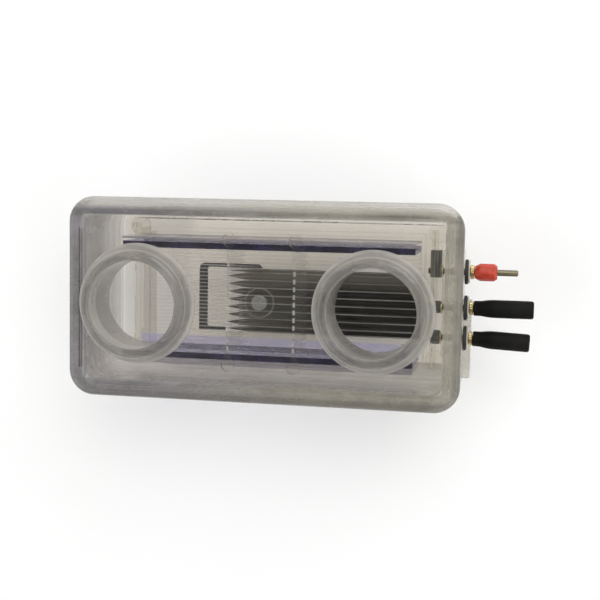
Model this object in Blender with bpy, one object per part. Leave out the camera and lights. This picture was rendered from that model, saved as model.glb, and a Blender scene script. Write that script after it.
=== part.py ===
"""Gel electrophoresis tank with a two-port lid, a laned running tray and three side terminals.

Units are metres and +Z is up. +X points out of the end wall that carries the terminals.
The origin lies under the middle of the whole object, plugs included, on the surface it stands on.
"""

import math

import bmesh
import bpy
from mathutils import Matrix, Vector

# ---------------------------------------------------------------- driving dimensions
GAP = 0.0003  # between two pieces that touch

LID_LENGTH = 0.260
LID_WIDTH = 0.1325
LID_CORNER = 0.017
LID_EDGE_HEIGHT = 0.084  # height of the lid's widest edge above the table
LID_ROUND = 0.0038  # rounding between that edge and the lid's top
LID_THICKNESS = 0.003
SKIRT_DEPTH = 0.012
SKIRT_THICKNESS = 0.0025

TANK_INNER_X = 0.1203  # half length inside, at the rim
TANK_INNER_Y = 0.056
TANK_INNER_CORNER = 0.010
TANK_WALL = 0.0033
TANK_DRAFT = 0.0015  # how much the walls lean in from rim to floor
FLANGE_OUT = 0.0035
FLANGE_THICKNESS = 0.0035
FLOOR_THICKNESS = 0.0035

FOOT_HEIGHT = 0.004
FOOT_RADIUS = 0.007
FOOT_X = 0.108
FOOT_Y = 0.0445
FOOT_CHAMFER = 0.001

PLATFORM_TOP = 0.0287
PLATFORM_LEFT = -0.0985
PLATFORM_RIGHT = 0.1005
PLATFORM_NORTH = 0.0445
PLATFORM_SOUTH = -0.0460
CHANNEL_DEPTH = 0.0034
PLATFORM_SKIN = 0.0028

TRAY_LEFT = -0.0974
TRAY_RIGHT = 0.0985
TRAY_NORTH = 0.0328  # inner face of the north wall
TRAY_SOUTH = -0.0364
TRAY_WALL = 0.0042
TRAY_WALL_TOP = 0.072
TRAY_FLOOR = 0.003
RIB_PITCH = 0.00252
RIB_WIDTH = 0.0011
RIB_HEIGHT = 0.001

GUIDE_NORTH = 0.0386  # inner face of the north comb guide
GUIDE_SOUTH = -0.0426
GUIDE_THICKNESS = 0.0016
GUIDE_TOP = 0.0745
NOTCH_WIDTH = 0.0102
NOTCH_DEPTH = 0.0028
NOTCH_SLOPE = 0.001
COMB_STATIONS = (-0.0730, -0.0236, 0.0206, 0.0674)
COMB_BAR_HEIGHT = 0.003
COMB_THICKNESS = 0.0024
COMB_LUG_RADIUS = 0.0044
TOOTH_PITCH = 0.00504
TOOTH_WIDTH = 0.0034
TOOTH_LENGTH = 0.011
TOOTH_ABOVE_RIBS = 0.001
TEETH = 13

LANE_RIDGES = 8  # ridges between the nine lanes
RIDGE_PITCH = 0.00537
RIDGE_MIDDLE = -0.0039
PLATE_LEFT = -0.0370
PLATE_RIGHT = 0.0990
PLATE_NORTH = 0.0177
PLATE_SOUTH = -0.0270
PLATE_THICKNESS = 0.0026
RIDGE_WIDTH = 0.0009
LANE_DEPTH = 0.0009
LANE_POINT = 0.0125  # length of a lane's pointed end
LANE_TIP = 0.0005  # from the plate's end to a lane's point
LOOP_LEFT = -0.0566
LOOP_BAR = 0.0058
LOOP_ARM = 0.0026
LOOP_NORTH = PLATE_NORTH + GAP + LOOP_ARM
LOOP_SOUTH = PLATE_SOUTH + 0.0004
LOOP_ARM_END = -0.0112  # right end of the long north arm
LOOP_THICKNESS = 0.0022

PORT_X = (-0.0818, 0.0742)
PORT_Y = -0.0032
PORT_BORE = 0.0285
PORT_TUBE = 0.0312
PORT_LAND = 0.0332  # outer radius of the flat top
PORT_BASE = 0.0398
PORT_RISE = 0.0137
PORT_DROP = 0.0251
PORT_SIDES = 64

KEY_X = -0.1212
KEY_Y = -0.001
KEY_LENGTH = 0.092
KEY_WIDTH = 0.0014
KEY_SUNK = 0.0006  # how far the key's top stays below the lid's
SLOT_WIDTH = 0.0024
GATE_RADIUS = 0.0050
GATE_HEIGHT = 0.0006

TERMINAL_HEIGHT = 0.060
TERMINAL_Y = (0.0225, -0.0008, -0.0205)
TERMINAL_NAMES = ("red", "black_mid", "black_low")
PAD_INNER = 0.1239
PAD_OUTER = 0.1293
PAD_SOUTH, PAD_NORTH = -0.049, 0.036
PAD_LOW, PAD_HIGH = 0.0475, 0.0712
BLOCK_INNER = 0.1159
BLOCK_SOUTH = -0.032
STUD_RADIUS = 0.0020
STUD_BORE = STUD_RADIUS + GAP
STUD_INSIDE = 0.0015  # how far a stud stands out of the nut or clamp inside the tank
STUD_TIP = 0.0006
WASHER_RADIUS = 0.0080
WASHER_THICKNESS = 0.0020
FLANGE_NUT_RADIUS = 0.0076
FLANGE_NUT_THICKNESS = 0.0009
COLLAR_RADIUS = 0.0046
COLLAR_LENGTH = 0.0024
CLAMP_LENGTH = 0.0070  # the red terminal's clamp block, off centre on its stud
CLAMP_HALF_HEIGHT = 0.0045
CLAMP_SOUTH, CLAMP_NORTH = -0.0040, 0.0135
INNER_NUTS = (None, (0.0040, 0.0042), (0.0046, 0.0058))  # radius and length of the others' nuts
LUG_RADIUS = 0.0042
LUG_THICKNESS = 0.0008
SLEEVE_LEFT = 0.1358
SLEEVE_ENDS = (0.1500, 0.1743, 0.1722)
SLEEVE_TILT = (0.0, 0.0, math.radians(-2.6))
SLEEVE_RADIUS = 0.0058
SLEEVE_PIN = 0.024  # how far a sleeved stud reaches into its sleeve
SLEEVE_BORE_DEPTH = 0.0262
SLEEVE_CLEARANCE = 0.0012
PIN_END = 0.1633
LEDGE_OUTER = 0.1340
LEDGE_SOUTH, LEDGE_NORTH = -0.0492, 0.0032
LEDGE_LOW, LEDGE_HIGH = 0.0415, 0.0450

ELECTRODE_X = (-0.1075, 0.1065)
ELECTRODE_REACH = 0.047
CARRIER_HALF = 0.002  # half the thickness of an electrode's carrier
CARRIER_BAR = 0.004
CARRIER_POST = 0.010
POST_WIDTH = 0.003
WIRE_HEIGHT = 0.008
WIRE_RADIUS = 0.0003
LEAD_RADIUS = 0.0005
LEAD_GAP = 0.0008  # between a lead's top end and what it hangs from
LEAD_RUN_Y = 0.0505

LID_TOP = LID_EDGE_HEIGHT + LID_ROUND
LID_UNDER = LID_TOP - LID_THICKNESS
RIM_TOP = LID_UNDER - GAP
TANK_BASE = FOOT_HEIGHT + GAP
FLOOR_TOP = TANK_BASE + FLOOR_THICKNESS
TRAY_BASE = PLATFORM_TOP + GAP
PLATE_BASE = PLATFORM_TOP - CHANNEL_DEPTH + GAP
OVERLAP = 0.002  # how far a cutter or a joined shape reaches past the face it meets
HOLE_REACH = 0.010  # half the length of a cutter for a hole through a wall
TANK_X = -(max(SLEEVE_ENDS) - LID_LENGTH / 2) / 2  # puts the origin under the whole object's middle

# colour, roughness, metallic, alpha
FINISHES = {
    "clear_plastic": ((0.62, 0.60, 0.57), 0.25, 0.0, 0.45),
    "frosted_plastic": ((0.55, 0.54, 0.53), 0.4, 0.0, 0.6),
    "violet_acrylic": ((0.05, 0.03, 0.16), 0.2, 0.0, 0.8),
    "black_plate": ((0.02, 0.02, 0.018), 0.45, 0.0, 1.0),
    "dark_key": ((0.06, 0.06, 0.06), 0.6, 0.0, 1.0),
    "black_rubber": ((0.012, 0.012, 0.012), 0.7, 0.0, 1.0),
    "clear_silicone": ((0.60, 0.59, 0.57), 0.5, 0.0, 0.6),
    "red_plastic": ((0.60, 0.06, 0.04), 0.4, 0.0, 1.0),
    "brass": ((0.55, 0.42, 0.18), 0.35, 1.0, 1.0),
    "steel": ((0.5, 0.48, 0.42), 0.35, 1.0, 1.0),
    "platinum": ((0.7, 0.7, 0.7), 0.25, 1.0, 1.0),
    "pale_plastic": ((0.55, 0.53, 0.46), 0.4, 0.0, 1.0),
}


# ---------------------------------------------------------------- helpers
def material(name):
    found = bpy.data.materials.get(name)
    if found:
        return found
    colour, roughness, metallic, alpha = FINISHES[name]
    made = bpy.data.materials.new(name)
    made.use_nodes = True
    shader = made.node_tree.nodes["Principled BSDF"]
    shader.inputs["Base Color"].default_value = (*colour, 1.0)
    shader.inputs["Roughness"].default_value = roughness
    shader.inputs["Metallic"].default_value = metallic
    shader.inputs["Alpha"].default_value = alpha
    return made


def piece(name, mesh_builder, finish, location=(0, 0, 0), smooth_angle=None):
    """An object from a bmesh, placed in the tank's own frame, whose middle lies at TANK_X."""
    mesh = bpy.data.meshes.new(name)
    bmesh.ops.recalc_face_normals(mesh_builder, faces=mesh_builder.faces)
    mesh_builder.to_mesh(mesh)
    mesh_builder.free()
    if smooth_angle is not None:
        mesh.shade_smooth()
        mesh.set_sharp_from_angle(angle=math.radians(smooth_angle))
    made = bpy.data.objects.new(name, mesh)
    made.location = Vector(location) + Vector((TANK_X, 0, 0))
    bpy.context.scene.collection.objects.link(made)
    if finish:
        mesh.materials.append(material(finish))
    return made


def boolean(target, other, operation):
    """Cuts or joins other with target, and keeps other out of sight."""
    modifier = target.modifiers.new(operation.lower(), "BOOLEAN")
    modifier.operation = operation
    modifier.object = other
    modifier.solver = "EXACT"
    other.hide_render = True
    other.display_type = "WIRE"


def rounded_rectangle(half_x, half_y, radius, z, corner_steps=8):
    """Points anticlockwise round a rectangle with round corners, centred on X = Y = 0."""
    points = []
    for turn, (sign_x, sign_y) in enumerate(((1, 1), (-1, 1), (-1, -1), (1, -1))):
        centre = Vector((sign_x * (half_x - radius), sign_y * (half_y - radius), z))
        for step in range(corner_steps + 1):
            angle = (turn + step / corner_steps) * math.pi / 2
            points.append(centre + Vector((math.cos(angle), math.sin(angle), 0)) * radius)
    return points


def loft(loops):
    """A closed body through loops of equally many points, with flat caps on the first and last."""
    shape = bmesh.new()
    rings = [[shape.verts.new(point) for point in loop] for loop in loops]
    for lower, upper in zip(rings, rings[1:]):
        for index in range(len(lower)):
            after = (index + 1) % len(lower)
            shape.faces.new((lower[index], lower[after], upper[after], upper[index]))
    shape.faces.new(list(reversed(rings[0])))
    shape.faces.new(rings[-1])
    return shape


def block(low, high):
    """A box between two corners."""
    shape = bmesh.new()
    size = Vector(high) - Vector(low)
    middle = (Vector(high) + Vector(low)) / 2
    bmesh.ops.create_cube(shape, size=1, matrix=Matrix.Translation(middle) @ Matrix.Diagonal((*size, 1)))
    return shape


def prism(outline, low, high, axis="Z"):
    """A flat outline of (a, b) points raised between two levels along an axis."""
    place = {
        "Z": lambda a, b, level: (a, b, level),
        "Y": lambda a, b, level: (a, level, b),
        "X": lambda a, b, level: (level, a, b),
    }[axis]
    return loft([[Vector(place(a, b, level)) for a, b in outline] for level in (low, high)])


def turned_rings(shape, profile, sides, axis):
    """One ring of vertices for each (radius, level) of the profile, about X or Z."""
    rings = []
    for radius, level in profile:
        ring = []
        for side in range(sides):
            angle = 2 * math.pi * side / sides
            across, up = radius * math.cos(angle), radius * math.sin(angle)
            point = (across, up, level) if axis == "Z" else (level, across, up)
            ring.append(shape.verts.new(point))
        rings.append(ring)
    return rings


def bridge(shape, first, second):
    """Four-sided faces between two rings of equally many vertices."""
    for side in range(len(first)):
        after = (side + 1) % len(first)
        shape.faces.new((first[side], first[after], second[after], second[side]))


def turned(profile, sides, axis="Z"):
    """A solid round body from a profile of (radius, level) points, with flat ends."""
    shape = bmesh.new()
    rings = turned_rings(shape, profile, sides, axis)
    for first, second in zip(rings, rings[1:]):
        bridge(shape, first, second)
    shape.faces.new(rings[0])
    shape.faces.new(list(reversed(rings[-1])))
    return shape


def ring_body(profile, sides, axis="Z"):
    """A ring whose profile of (radius, level) points is a closed outline clear of the axis."""
    shape = bmesh.new()
    rings = turned_rings(shape, profile, sides, axis)
    for first, second in zip(rings, rings[1:] + rings[:1]):
        bridge(shape, first, second)
    return shape


def spindle(profile, sides):
    """A body turned about X whose profile starts and ends on the axis."""
    shape = bmesh.new()
    start = shape.verts.new((profile[0][1], 0, 0))
    end = shape.verts.new((profile[-1][1], 0, 0))
    rings = turned_rings(shape, profile[1:-1], sides, "X")
    for first, second in zip(rings, rings[1:]):
        bridge(shape, first, second)
    for side in range(sides):
        after = (side + 1) % sides
        shape.faces.new((start, rings[0][after], rings[0][side]))
        shape.faces.new((end, rings[-1][side], rings[-1][after]))
    return shape


def rod(points, radius, name, finish, resolution=2):
    """A round wire through points, with filled ends."""
    curve = bpy.data.curves.new(name, "CURVE")
    curve.dimensions = "3D"
    curve.bevel_depth = radius
    curve.bevel_resolution = resolution
    curve.use_fill_caps = True
    spline = curve.splines.new("POLY")
    spline.points.add(len(points) - 1)
    for target, point in zip(spline.points, points):
        target.co = (*point, 1)
    made = bpy.data.objects.new(name, curve)
    made.location = (TANK_X, 0, 0)
    curve.materials.append(material(finish))
    bpy.context.scene.collection.objects.link(made)
    return made


# ---------------------------------------------------------------- tank
def tank_body():
    """The moulded tub: drafted walls, a rim flange and a raised platform, open underneath."""
    outer_x, outer_y = TANK_INNER_X + TANK_WALL, TANK_INNER_Y + TANK_WALL
    outer_corner = TANK_INNER_CORNER + TANK_WALL
    flange_corner = outer_corner + FLANGE_OUT
    flange_x, flange_y = outer_x + FLANGE_OUT, outer_y + FLANGE_OUT
    flange_low = RIM_TOP - FLANGE_THICKNESS
    inner = (TANK_INNER_X, TANK_INNER_Y, TANK_INNER_CORNER)
    loops = [
        rounded_rectangle(inner[0] - TANK_DRAFT, inner[1] - TANK_DRAFT, inner[2], FLOOR_TOP),
        rounded_rectangle(*inner, RIM_TOP),
        rounded_rectangle(flange_x, flange_y, flange_corner, RIM_TOP),
        rounded_rectangle(flange_x, flange_y, flange_corner, flange_low),
        rounded_rectangle(outer_x, outer_y, outer_corner, flange_low),
        rounded_rectangle(outer_x - TANK_DRAFT, outer_y - TANK_DRAFT, outer_corner, TANK_BASE),
    ]
    tank = piece("tank_body", loft(loops), "clear_plastic", smooth_angle=30)

    platform = piece(
        "platform_shape",
        block(
            (PLATFORM_LEFT, PLATFORM_SOUTH, FLOOR_TOP - OVERLAP / 2),
            (PLATFORM_RIGHT, PLATFORM_NORTH, PLATFORM_TOP),
        ),
        None,
    )
    boolean(tank, platform, "UNION")

    under = piece(
        "platform_hollow",
        block(
            (PLATFORM_LEFT + TANK_WALL, PLATFORM_SOUTH + TANK_WALL, TANK_BASE - OVERLAP),
            (
                PLATFORM_RIGHT - TANK_WALL,
                PLATFORM_NORTH - TANK_WALL,
                PLATFORM_TOP - CHANNEL_DEPTH - PLATFORM_SKIN,
            ),
        ),
        None,
    )
    boolean(tank, under, "DIFFERENCE")

    channel = piece(
        "plate_channel",
        block(
            (PLATFORM_LEFT - OVERLAP, PLATE_SOUTH - 2 * GAP, PLATFORM_TOP - CHANNEL_DEPTH),
            (PLATE_RIGHT + GAP, LOOP_NORTH + 2 * GAP, PLATFORM_TOP + OVERLAP),
        ),
        None,
    )
    boolean(tank, channel, "DIFFERENCE")

    for name, y in zip(TERMINAL_NAMES, TERMINAL_Y):
        hole = piece(
            f"wall_hole_{name}",
            turned([(STUD_BORE, -HOLE_REACH), (STUD_BORE, HOLE_REACH)], 16, axis="X"),
            None,
            (TANK_INNER_X, y, TERMINAL_HEIGHT),
        )
        boolean(tank, hole, "DIFFERENCE")


def feet():
    """Four soft clear feet under the tub's corners."""
    corners = [(sx, sy) for sx in (-1, 1) for sy in (-1, 1)]
    names = ("left_south", "left_north", "right_south", "right_north")
    for name, (sign_x, sign_y) in zip(names, corners):
        profile = [
            (FOOT_RADIUS - FOOT_CHAMFER, 0),
            (FOOT_RADIUS, FOOT_CHAMFER),
            (FOOT_RADIUS, FOOT_HEIGHT),
        ]
        piece(
            f"foot_{name}",
            turned(profile, 24),
            "clear_silicone",
            (sign_x * FOOT_X, sign_y * FOOT_Y, 0),
            smooth_angle=40,
        )


def comb_guides():
    """Two clear strips that stand beside the tray and hold the combs' ends in four notches."""
    sides = (("north", GUIDE_NORTH, 1), ("south", GUIDE_SOUTH, -1))
    for name, inner, sign in sides:
        outline = [(TRAY_RIGHT, TRAY_BASE), (TRAY_RIGHT, GUIDE_TOP)]
        for station in reversed(COMB_STATIONS):
            half, low = NOTCH_WIDTH / 2, GUIDE_TOP - NOTCH_DEPTH
            outline += [
                (station + half, GUIDE_TOP),
                (station + half - NOTCH_SLOPE, low),
                (station - half + NOTCH_SLOPE, low),
                (station - half, GUIDE_TOP),
            ]
        outline += [(TRAY_LEFT, GUIDE_TOP), (TRAY_LEFT, TRAY_BASE)]
        levels = sorted((inner, inner + sign * GUIDE_THICKNESS))
        piece(f"comb_guide_{name}", prism(outline, *levels, axis="Y"), "clear_plastic")


# ---------------------------------------------------------------- lid
def lid():
    """The moulded lid: a plate with a rounded edge, a skirt, two port holes and a key slot."""
    half_x, half_y = LID_LENGTH / 2, LID_WIDTH / 2
    loops = []
    inside = SKIRT_THICKNESS
    skirt_low = LID_EDGE_HEIGHT - SKIRT_DEPTH
    draft = 0.0006
    loops.append(
        rounded_rectangle(half_x - inside, half_y - inside, LID_CORNER - inside, LID_UNDER)
    )
    loops.append(
        rounded_rectangle(half_x - inside, half_y - inside, LID_CORNER - inside, skirt_low)
    )
    loops.append(
        rounded_rectangle(half_x - draft, half_y - draft, LID_CORNER - draft, skirt_low)
    )
    round_steps = 4
    for step in range(round_steps + 1):
        angle = step / round_steps * math.pi / 2
        inset = LID_ROUND * (1 - math.cos(angle))
        height = LID_EDGE_HEIGHT + LID_ROUND * math.sin(angle)
        loops.append(rounded_rectangle(half_x - inset, half_y - inset, LID_CORNER - inset, height))
    cover = piece("lid", loft(loops), "clear_plastic", smooth_angle=35)

    gate = piece(
        "gate_mark",
        turned(
            [
                (GATE_RADIUS, -OVERLAP / 2),
                (GATE_RADIUS, GATE_HEIGHT / 3),
                (GATE_RADIUS - 2 * GATE_HEIGHT / 3, GATE_HEIGHT),
            ],
            24,
        ),
        None,
        (0, 0, LID_TOP),
    )
    boolean(cover, gate, "UNION")

    for side, x in zip(("left", "right"), PORT_X):
        hole = piece(
            f"port_hole_{side}",
            turned([(PORT_TUBE + GAP, -HOLE_REACH), (PORT_TUBE + GAP, HOLE_REACH)], PORT_SIDES),
            None,
            (x, PORT_Y, LID_TOP),
        )
        boolean(cover, hole, "DIFFERENCE")

    slot = piece(
        "key_slot",
        block(
            (-SLOT_WIDTH / 2, -(KEY_LENGTH / 2 + GAP), -HOLE_REACH),
            (SLOT_WIDTH / 2, KEY_LENGTH / 2 + GAP, HOLE_REACH),
        ),
        None,
        (KEY_X, KEY_Y, LID_TOP),
    )
    boolean(cover, slot, "DIFFERENCE")


def lid_key():
    """A thin upright strip on the tank's rim that enters the lid's slot, so the lid fits one way."""
    low, high = RIM_TOP + GAP, LID_TOP - KEY_SUNK
    piece(
        "lid_key",
        block((-KEY_WIDTH / 2, -KEY_LENGTH / 2, low), (KEY_WIDTH / 2, KEY_LENGTH / 2, high)),
        "dark_key",
        (KEY_X, KEY_Y, 0),
    )


def port_collars():
    """Round open ports: a flared base on the lid, a flat top land and a tube down through the lid."""
    base = LID_TOP + GAP
    top = LID_TOP + PORT_RISE
    low = LID_TOP - PORT_DROP
    profile = [
        (PORT_BORE, low),
        (PORT_TUBE, low),
        (PORT_TUBE, base),
        (PORT_BASE, base),
        (PORT_BASE - 0.0004, base + 0.0016),
        (PORT_BASE - 0.0022, base + 0.0034),
        (PORT_LAND + 0.0022, top - 0.0044),
        (PORT_LAND + 0.0008, top - 0.0012),
        (PORT_LAND - 0.0004, top - 0.0002),
        (PORT_LAND - 0.0012, top),
        (PORT_BORE + 0.0010, top),
        (PORT_BORE + 0.0002, top - 0.0004),
        (PORT_BORE, top - 0.0012),
    ]
    for side, x in zip(("left", "right"), PORT_X):
        shape = ring_body(profile, PORT_SIDES)
        piece(f"port_collar_{side}", shape, "frosted_plastic", (x, PORT_Y, 0), smooth_angle=35)


# ---------------------------------------------------------------- tray
def tray_floor():
    """The clear running floor, ribbed lengthwise on top."""
    south, north = TRAY_SOUTH + GAP, TRAY_NORTH - GAP
    top = TRAY_BASE + TRAY_FLOOR
    count = int((north - south - 2 * RIB_WIDTH) / RIB_PITCH)
    first = (south + north) / 2 - (count - 1) * RIB_PITCH / 2
    outline = [(south, TRAY_BASE), (south, top)]
    for index in range(count):
        middle = first + index * RIB_PITCH
        outline += [
            (middle - RIB_WIDTH / 2, top),
            (middle - RIB_WIDTH / 4, top + RIB_HEIGHT),
            (middle + RIB_WIDTH / 4, top + RIB_HEIGHT),
            (middle + RIB_WIDTH / 2, top),
        ]
    outline += [(north, top), (north, TRAY_BASE)]
    outline.reverse()
    piece("tray_floor", prism(outline, TRAY_LEFT, TRAY_RIGHT, axis="X"), "clear_plastic")


def tray_walls():
    """The violet side walls of the tray."""
    sides = (
        ("north", TRAY_NORTH, TRAY_NORTH + TRAY_WALL),
        ("south", TRAY_SOUTH - TRAY_WALL, TRAY_SOUTH),
    )
    for name, low, high in sides:
        shape = block((TRAY_LEFT, low, TRAY_BASE), (TRAY_RIGHT, high, TRAY_WALL_TOP))
        piece(f"tray_wall_{name}", shape, "violet_acrylic")


def combs():
    """Clear combs across the tray, with round end lugs in the guides' notches and teeth below."""
    bar_low = TRAY_WALL_TOP + GAP
    bar_high = bar_low + COMB_BAR_HEIGHT
    south, north = TRAY_SOUTH + 2 * GAP, TRAY_NORTH - 2 * GAP
    middle = (south + north) / 2
    tooth_low = TRAY_BASE + TRAY_FLOOR + RIB_HEIGHT + TOOTH_ABOVE_RIBS
    tooth_high = tooth_low + TOOTH_LENGTH
    lug_north = GUIDE_NORTH + GUIDE_THICKNESS / 2
    lug_south = GUIDE_SOUTH - GUIDE_THICKNESS / 2
    for name, station in (("left", COMB_STATIONS[1]), ("right", COMB_STATIONS[2])):
        outline = [(lug_south, bar_low), (south, bar_low), (south, tooth_high)]
        for index in range(TEETH):
            centre = middle + (index - (TEETH - 1) / 2) * TOOTH_PITCH
            outline += [
                (centre - TOOTH_WIDTH / 2, tooth_high),
                (centre - TOOTH_WIDTH / 2, tooth_low),
                (centre + TOOTH_WIDTH / 2, tooth_low),
                (centre + TOOTH_WIDTH / 2, tooth_high),
            ]
        outline += [(north, tooth_high), (north, bar_low), (lug_north, bar_low)]
        outline += [(lug_north, bar_high), (lug_south, bar_high)]
        half = COMB_THICKNESS / 2
        comb = piece(
            f"comb_{name}", prism(outline, -half, half, axis="X"), "clear_plastic", (station, 0, 0)
        )
        for side, y in (("north", lug_north), ("south", lug_south)):
            lug = piece(
                f"lug_{name}_{side}",
                turned([(COMB_LUG_RADIUS, bar_low), (COMB_LUG_RADIUS, bar_high)], 24),
                None,
                (station, y, 0),
            )
            boolean(comb, lug, "UNION")


def lane_plate():
    """The black plate under the tray: lanes between thin ridges, each pointed at its left end."""
    low = PLATE_BASE
    high = low + PLATE_THICKNESS
    plate = piece(
        "lane_plate",
        block((PLATE_LEFT, PLATE_SOUTH, low), (PLATE_RIGHT, PLATE_NORTH, high)),
        "black_plate",
    )
    first = RIDGE_MIDDLE - (LANE_RIDGES - 1) / 2 * RIDGE_PITCH
    ridges = [first + index * RIDGE_PITCH for index in range(LANE_RIDGES)]
    edges = [PLATE_SOUTH + RIDGE_WIDTH / 2, *ridges, PLATE_NORTH - RIDGE_WIDTH / 2]
    for lane, (south, north) in enumerate(zip(edges, edges[1:])):
        south, north = south + RIDGE_WIDTH / 2, north - RIDGE_WIDTH / 2
        outline = [
            (PLATE_LEFT + LANE_TIP, (south + north) / 2),
            (PLATE_LEFT + LANE_POINT, south),
            (PLATE_RIGHT + OVERLAP, south),
            (PLATE_RIGHT + OVERLAP, north),
            (PLATE_LEFT + LANE_POINT, north),
        ]
        groove = piece(f"lane_{lane}", prism(outline, high - LANE_DEPTH, high + OVERLAP), None)
        boolean(plate, groove, "DIFFERENCE")


def finger_loop():
    """A flat U-shaped loop at the plate's left end, with one long arm along the plate's north side."""
    low = PLATE_BASE
    high = low + LOOP_THICKNESS
    gap_left = LOOP_LEFT + LOOP_BAR
    arm_south, arm_north = LOOP_SOUTH + LOOP_ARM, LOOP_NORTH - LOOP_ARM
    chamfer, corner = 0.001, 0.0035
    outline = [
        (PLATE_LEFT - GAP, LOOP_SOUTH),
        (PLATE_LEFT - GAP, arm_south),
        (gap_left + chamfer, arm_south),
        (gap_left, arm_south + chamfer),
        (gap_left, arm_north - chamfer),
        (gap_left + chamfer, arm_north),
        (LOOP_ARM_END, arm_north),
        (LOOP_ARM_END - LOOP_ARM, LOOP_NORTH),
        (LOOP_LEFT + corner, LOOP_NORTH),
        (LOOP_LEFT + chamfer, LOOP_NORTH - chamfer),
        (LOOP_LEFT, LOOP_NORTH - corner),
        (LOOP_LEFT, LOOP_SOUTH),
    ]
    piece("finger_loop", prism(outline, low, high), "black_plate")


# ---------------------------------------------------------------- terminals
def end_blocks():
    """The clear pad outside the end wall, the block inside it, and the ledge under the pad."""
    pad_shape = block((PAD_INNER, PAD_SOUTH, PAD_LOW), (PAD_OUTER, PAD_NORTH, PAD_HIGH))
    pad = piece("terminal_pad", pad_shape, "clear_plastic")
    block_right = TANK_INNER_X - TANK_DRAFT - GAP
    block_shape = block((BLOCK_INNER, BLOCK_SOUTH, PAD_LOW), (block_right, PAD_NORTH, PAD_HIGH))
    inside = piece("terminal_block", block_shape, "clear_plastic")
    for name, y in zip(TERMINAL_NAMES, TERMINAL_Y):
        for target, kind in ((pad, "pad"), (inside, "block")):
            hole = piece(
                f"{kind}_hole_{name}",
                turned([(STUD_BORE, -HOLE_REACH), (STUD_BORE, HOLE_REACH)], 16, axis="X"),
                None,
                (TANK_INNER_X, y, TERMINAL_HEIGHT),
            )
            boolean(target, hole, "DIFFERENCE")
    ledge = block((PAD_INNER, LEDGE_SOUTH, LEDGE_LOW), (LEDGE_OUTER, LEDGE_NORTH, LEDGE_HIGH))
    piece("side_ledge", ledge, "clear_plastic")


def terminal(index):
    """One terminal from the inside out: nut or clamp, lug, stud, washer, flange nut, collar, sleeve."""
    name = TERMINAL_NAMES[index]
    at = (0, TERMINAL_Y[index], TERMINAL_HEIGHT)

    def ring(kind, radius, left, length, sides, finish):
        right = left + length
        profile = [(STUD_BORE, left), (radius, left), (radius, right), (STUD_BORE, right)]
        piece(f"{kind}_{name}", ring_body(profile, sides, "X"), finish, at, smooth_angle=40)
        return right

    lug_left = BLOCK_INNER - GAP - LUG_THICKNESS
    if index == 0:
        nut_left = lug_left - GAP - CLAMP_LENGTH
        clamp_block(nut_left, at)
    else:
        nut_radius, nut_length = INNER_NUTS[index]
        nut_left = lug_left - GAP - nut_length
        ring("inner_nut", nut_radius, nut_left, nut_length, 6, "dark_key")
    ring("solder_lug", LUG_RADIUS, lug_left, LUG_THICKNESS, 24, "brass")
    right = ring("washer", WASHER_RADIUS, PAD_OUTER + GAP, WASHER_THICKNESS, 32, "black_rubber")
    right = ring("flange_nut", FLANGE_NUT_RADIUS, right + GAP, FLANGE_NUT_THICKNESS, 6, "pale_plastic")
    ring("collar", COLLAR_RADIUS, right + GAP, COLLAR_LENGTH, 6, "brass")

    stud_left = nut_left - STUD_INSIDE
    stud_end = PIN_END if index == 0 else SLEEVE_LEFT + SLEEVE_PIN
    profile = [
        (STUD_RADIUS - STUD_TIP, stud_left),
        (STUD_RADIUS, stud_left + STUD_TIP),
        (STUD_RADIUS, stud_end - STUD_TIP),
        (STUD_RADIUS - STUD_TIP, stud_end),
    ]
    piece(f"stud_{name}", turned(profile, 16, "X"), "steel", at, smooth_angle=40)
    if index == 0:
        red_cap(at)
    else:
        black_sleeve(index, at)


def clamp_block(left, at):
    """The dark block that clamps the red terminal's lead, with the stud through one end of it."""
    shape = block(
        (left, CLAMP_SOUTH, -CLAMP_HALF_HEIGHT),
        (left + CLAMP_LENGTH, CLAMP_NORTH, CLAMP_HALF_HEIGHT),
    )
    body = piece("clamp_block_red", shape, "dark_key", at)
    middle = (left + CLAMP_LENGTH / 2, at[1], at[2])
    hole = turned([(STUD_BORE, -HOLE_REACH), (STUD_BORE, HOLE_REACH)], 16, axis="X")
    boolean(body, piece("clamp_hole", hole, None, middle), "DIFFERENCE")


def red_cap(at):
    """The red insulated cap on the first stud: eight flats with tapered ends."""
    left, right = SLEEVE_LEFT, SLEEVE_ENDS[0]
    radius, nose_radius, end_radius = 0.0056, 0.0038, 0.0044
    nose_length, end_length = 0.0034, 0.0018
    profile = [
        (STUD_BORE, left),
        (nose_radius, left),
        (radius, left + nose_length),
        (radius, right - end_length),
        (end_radius, right),
        (STUD_BORE, right),
    ]
    piece("red_cap", ring_body(profile, 8, "X"), "red_plastic", at)


def black_sleeve(index, at):
    """A black plug sleeve, blind at its outer end and pushed over the stud's pin."""
    origin = Vector(at) + Vector((SLEEVE_LEFT, 0, 0))
    length = (SLEEVE_ENDS[index] - SLEEVE_LEFT) / math.cos(SLEEVE_TILT[index])
    bore = STUD_RADIUS + SLEEVE_CLEARANCE
    waist, shoulder, end = 0.0048, 0.012, 0.0012
    profile = [
        (0.0, SLEEVE_BORE_DEPTH),
        (bore, SLEEVE_BORE_DEPTH),
        (bore, 0.0),
        (waist, 0.0),
        ((waist + SLEEVE_RADIUS) / 2, shoulder / 2),
        (SLEEVE_RADIUS, shoulder),
        (SLEEVE_RADIUS, length - end),
        (SLEEVE_RADIUS - end, length),
        (0.0, length),
    ]
    name = f"sleeve_{TERMINAL_NAMES[index]}"
    sleeve = piece(name, spindle(profile, 32), "black_rubber", origin, smooth_angle=40)
    sleeve.rotation_euler = (0, 0, SLEEVE_TILT[index])


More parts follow.
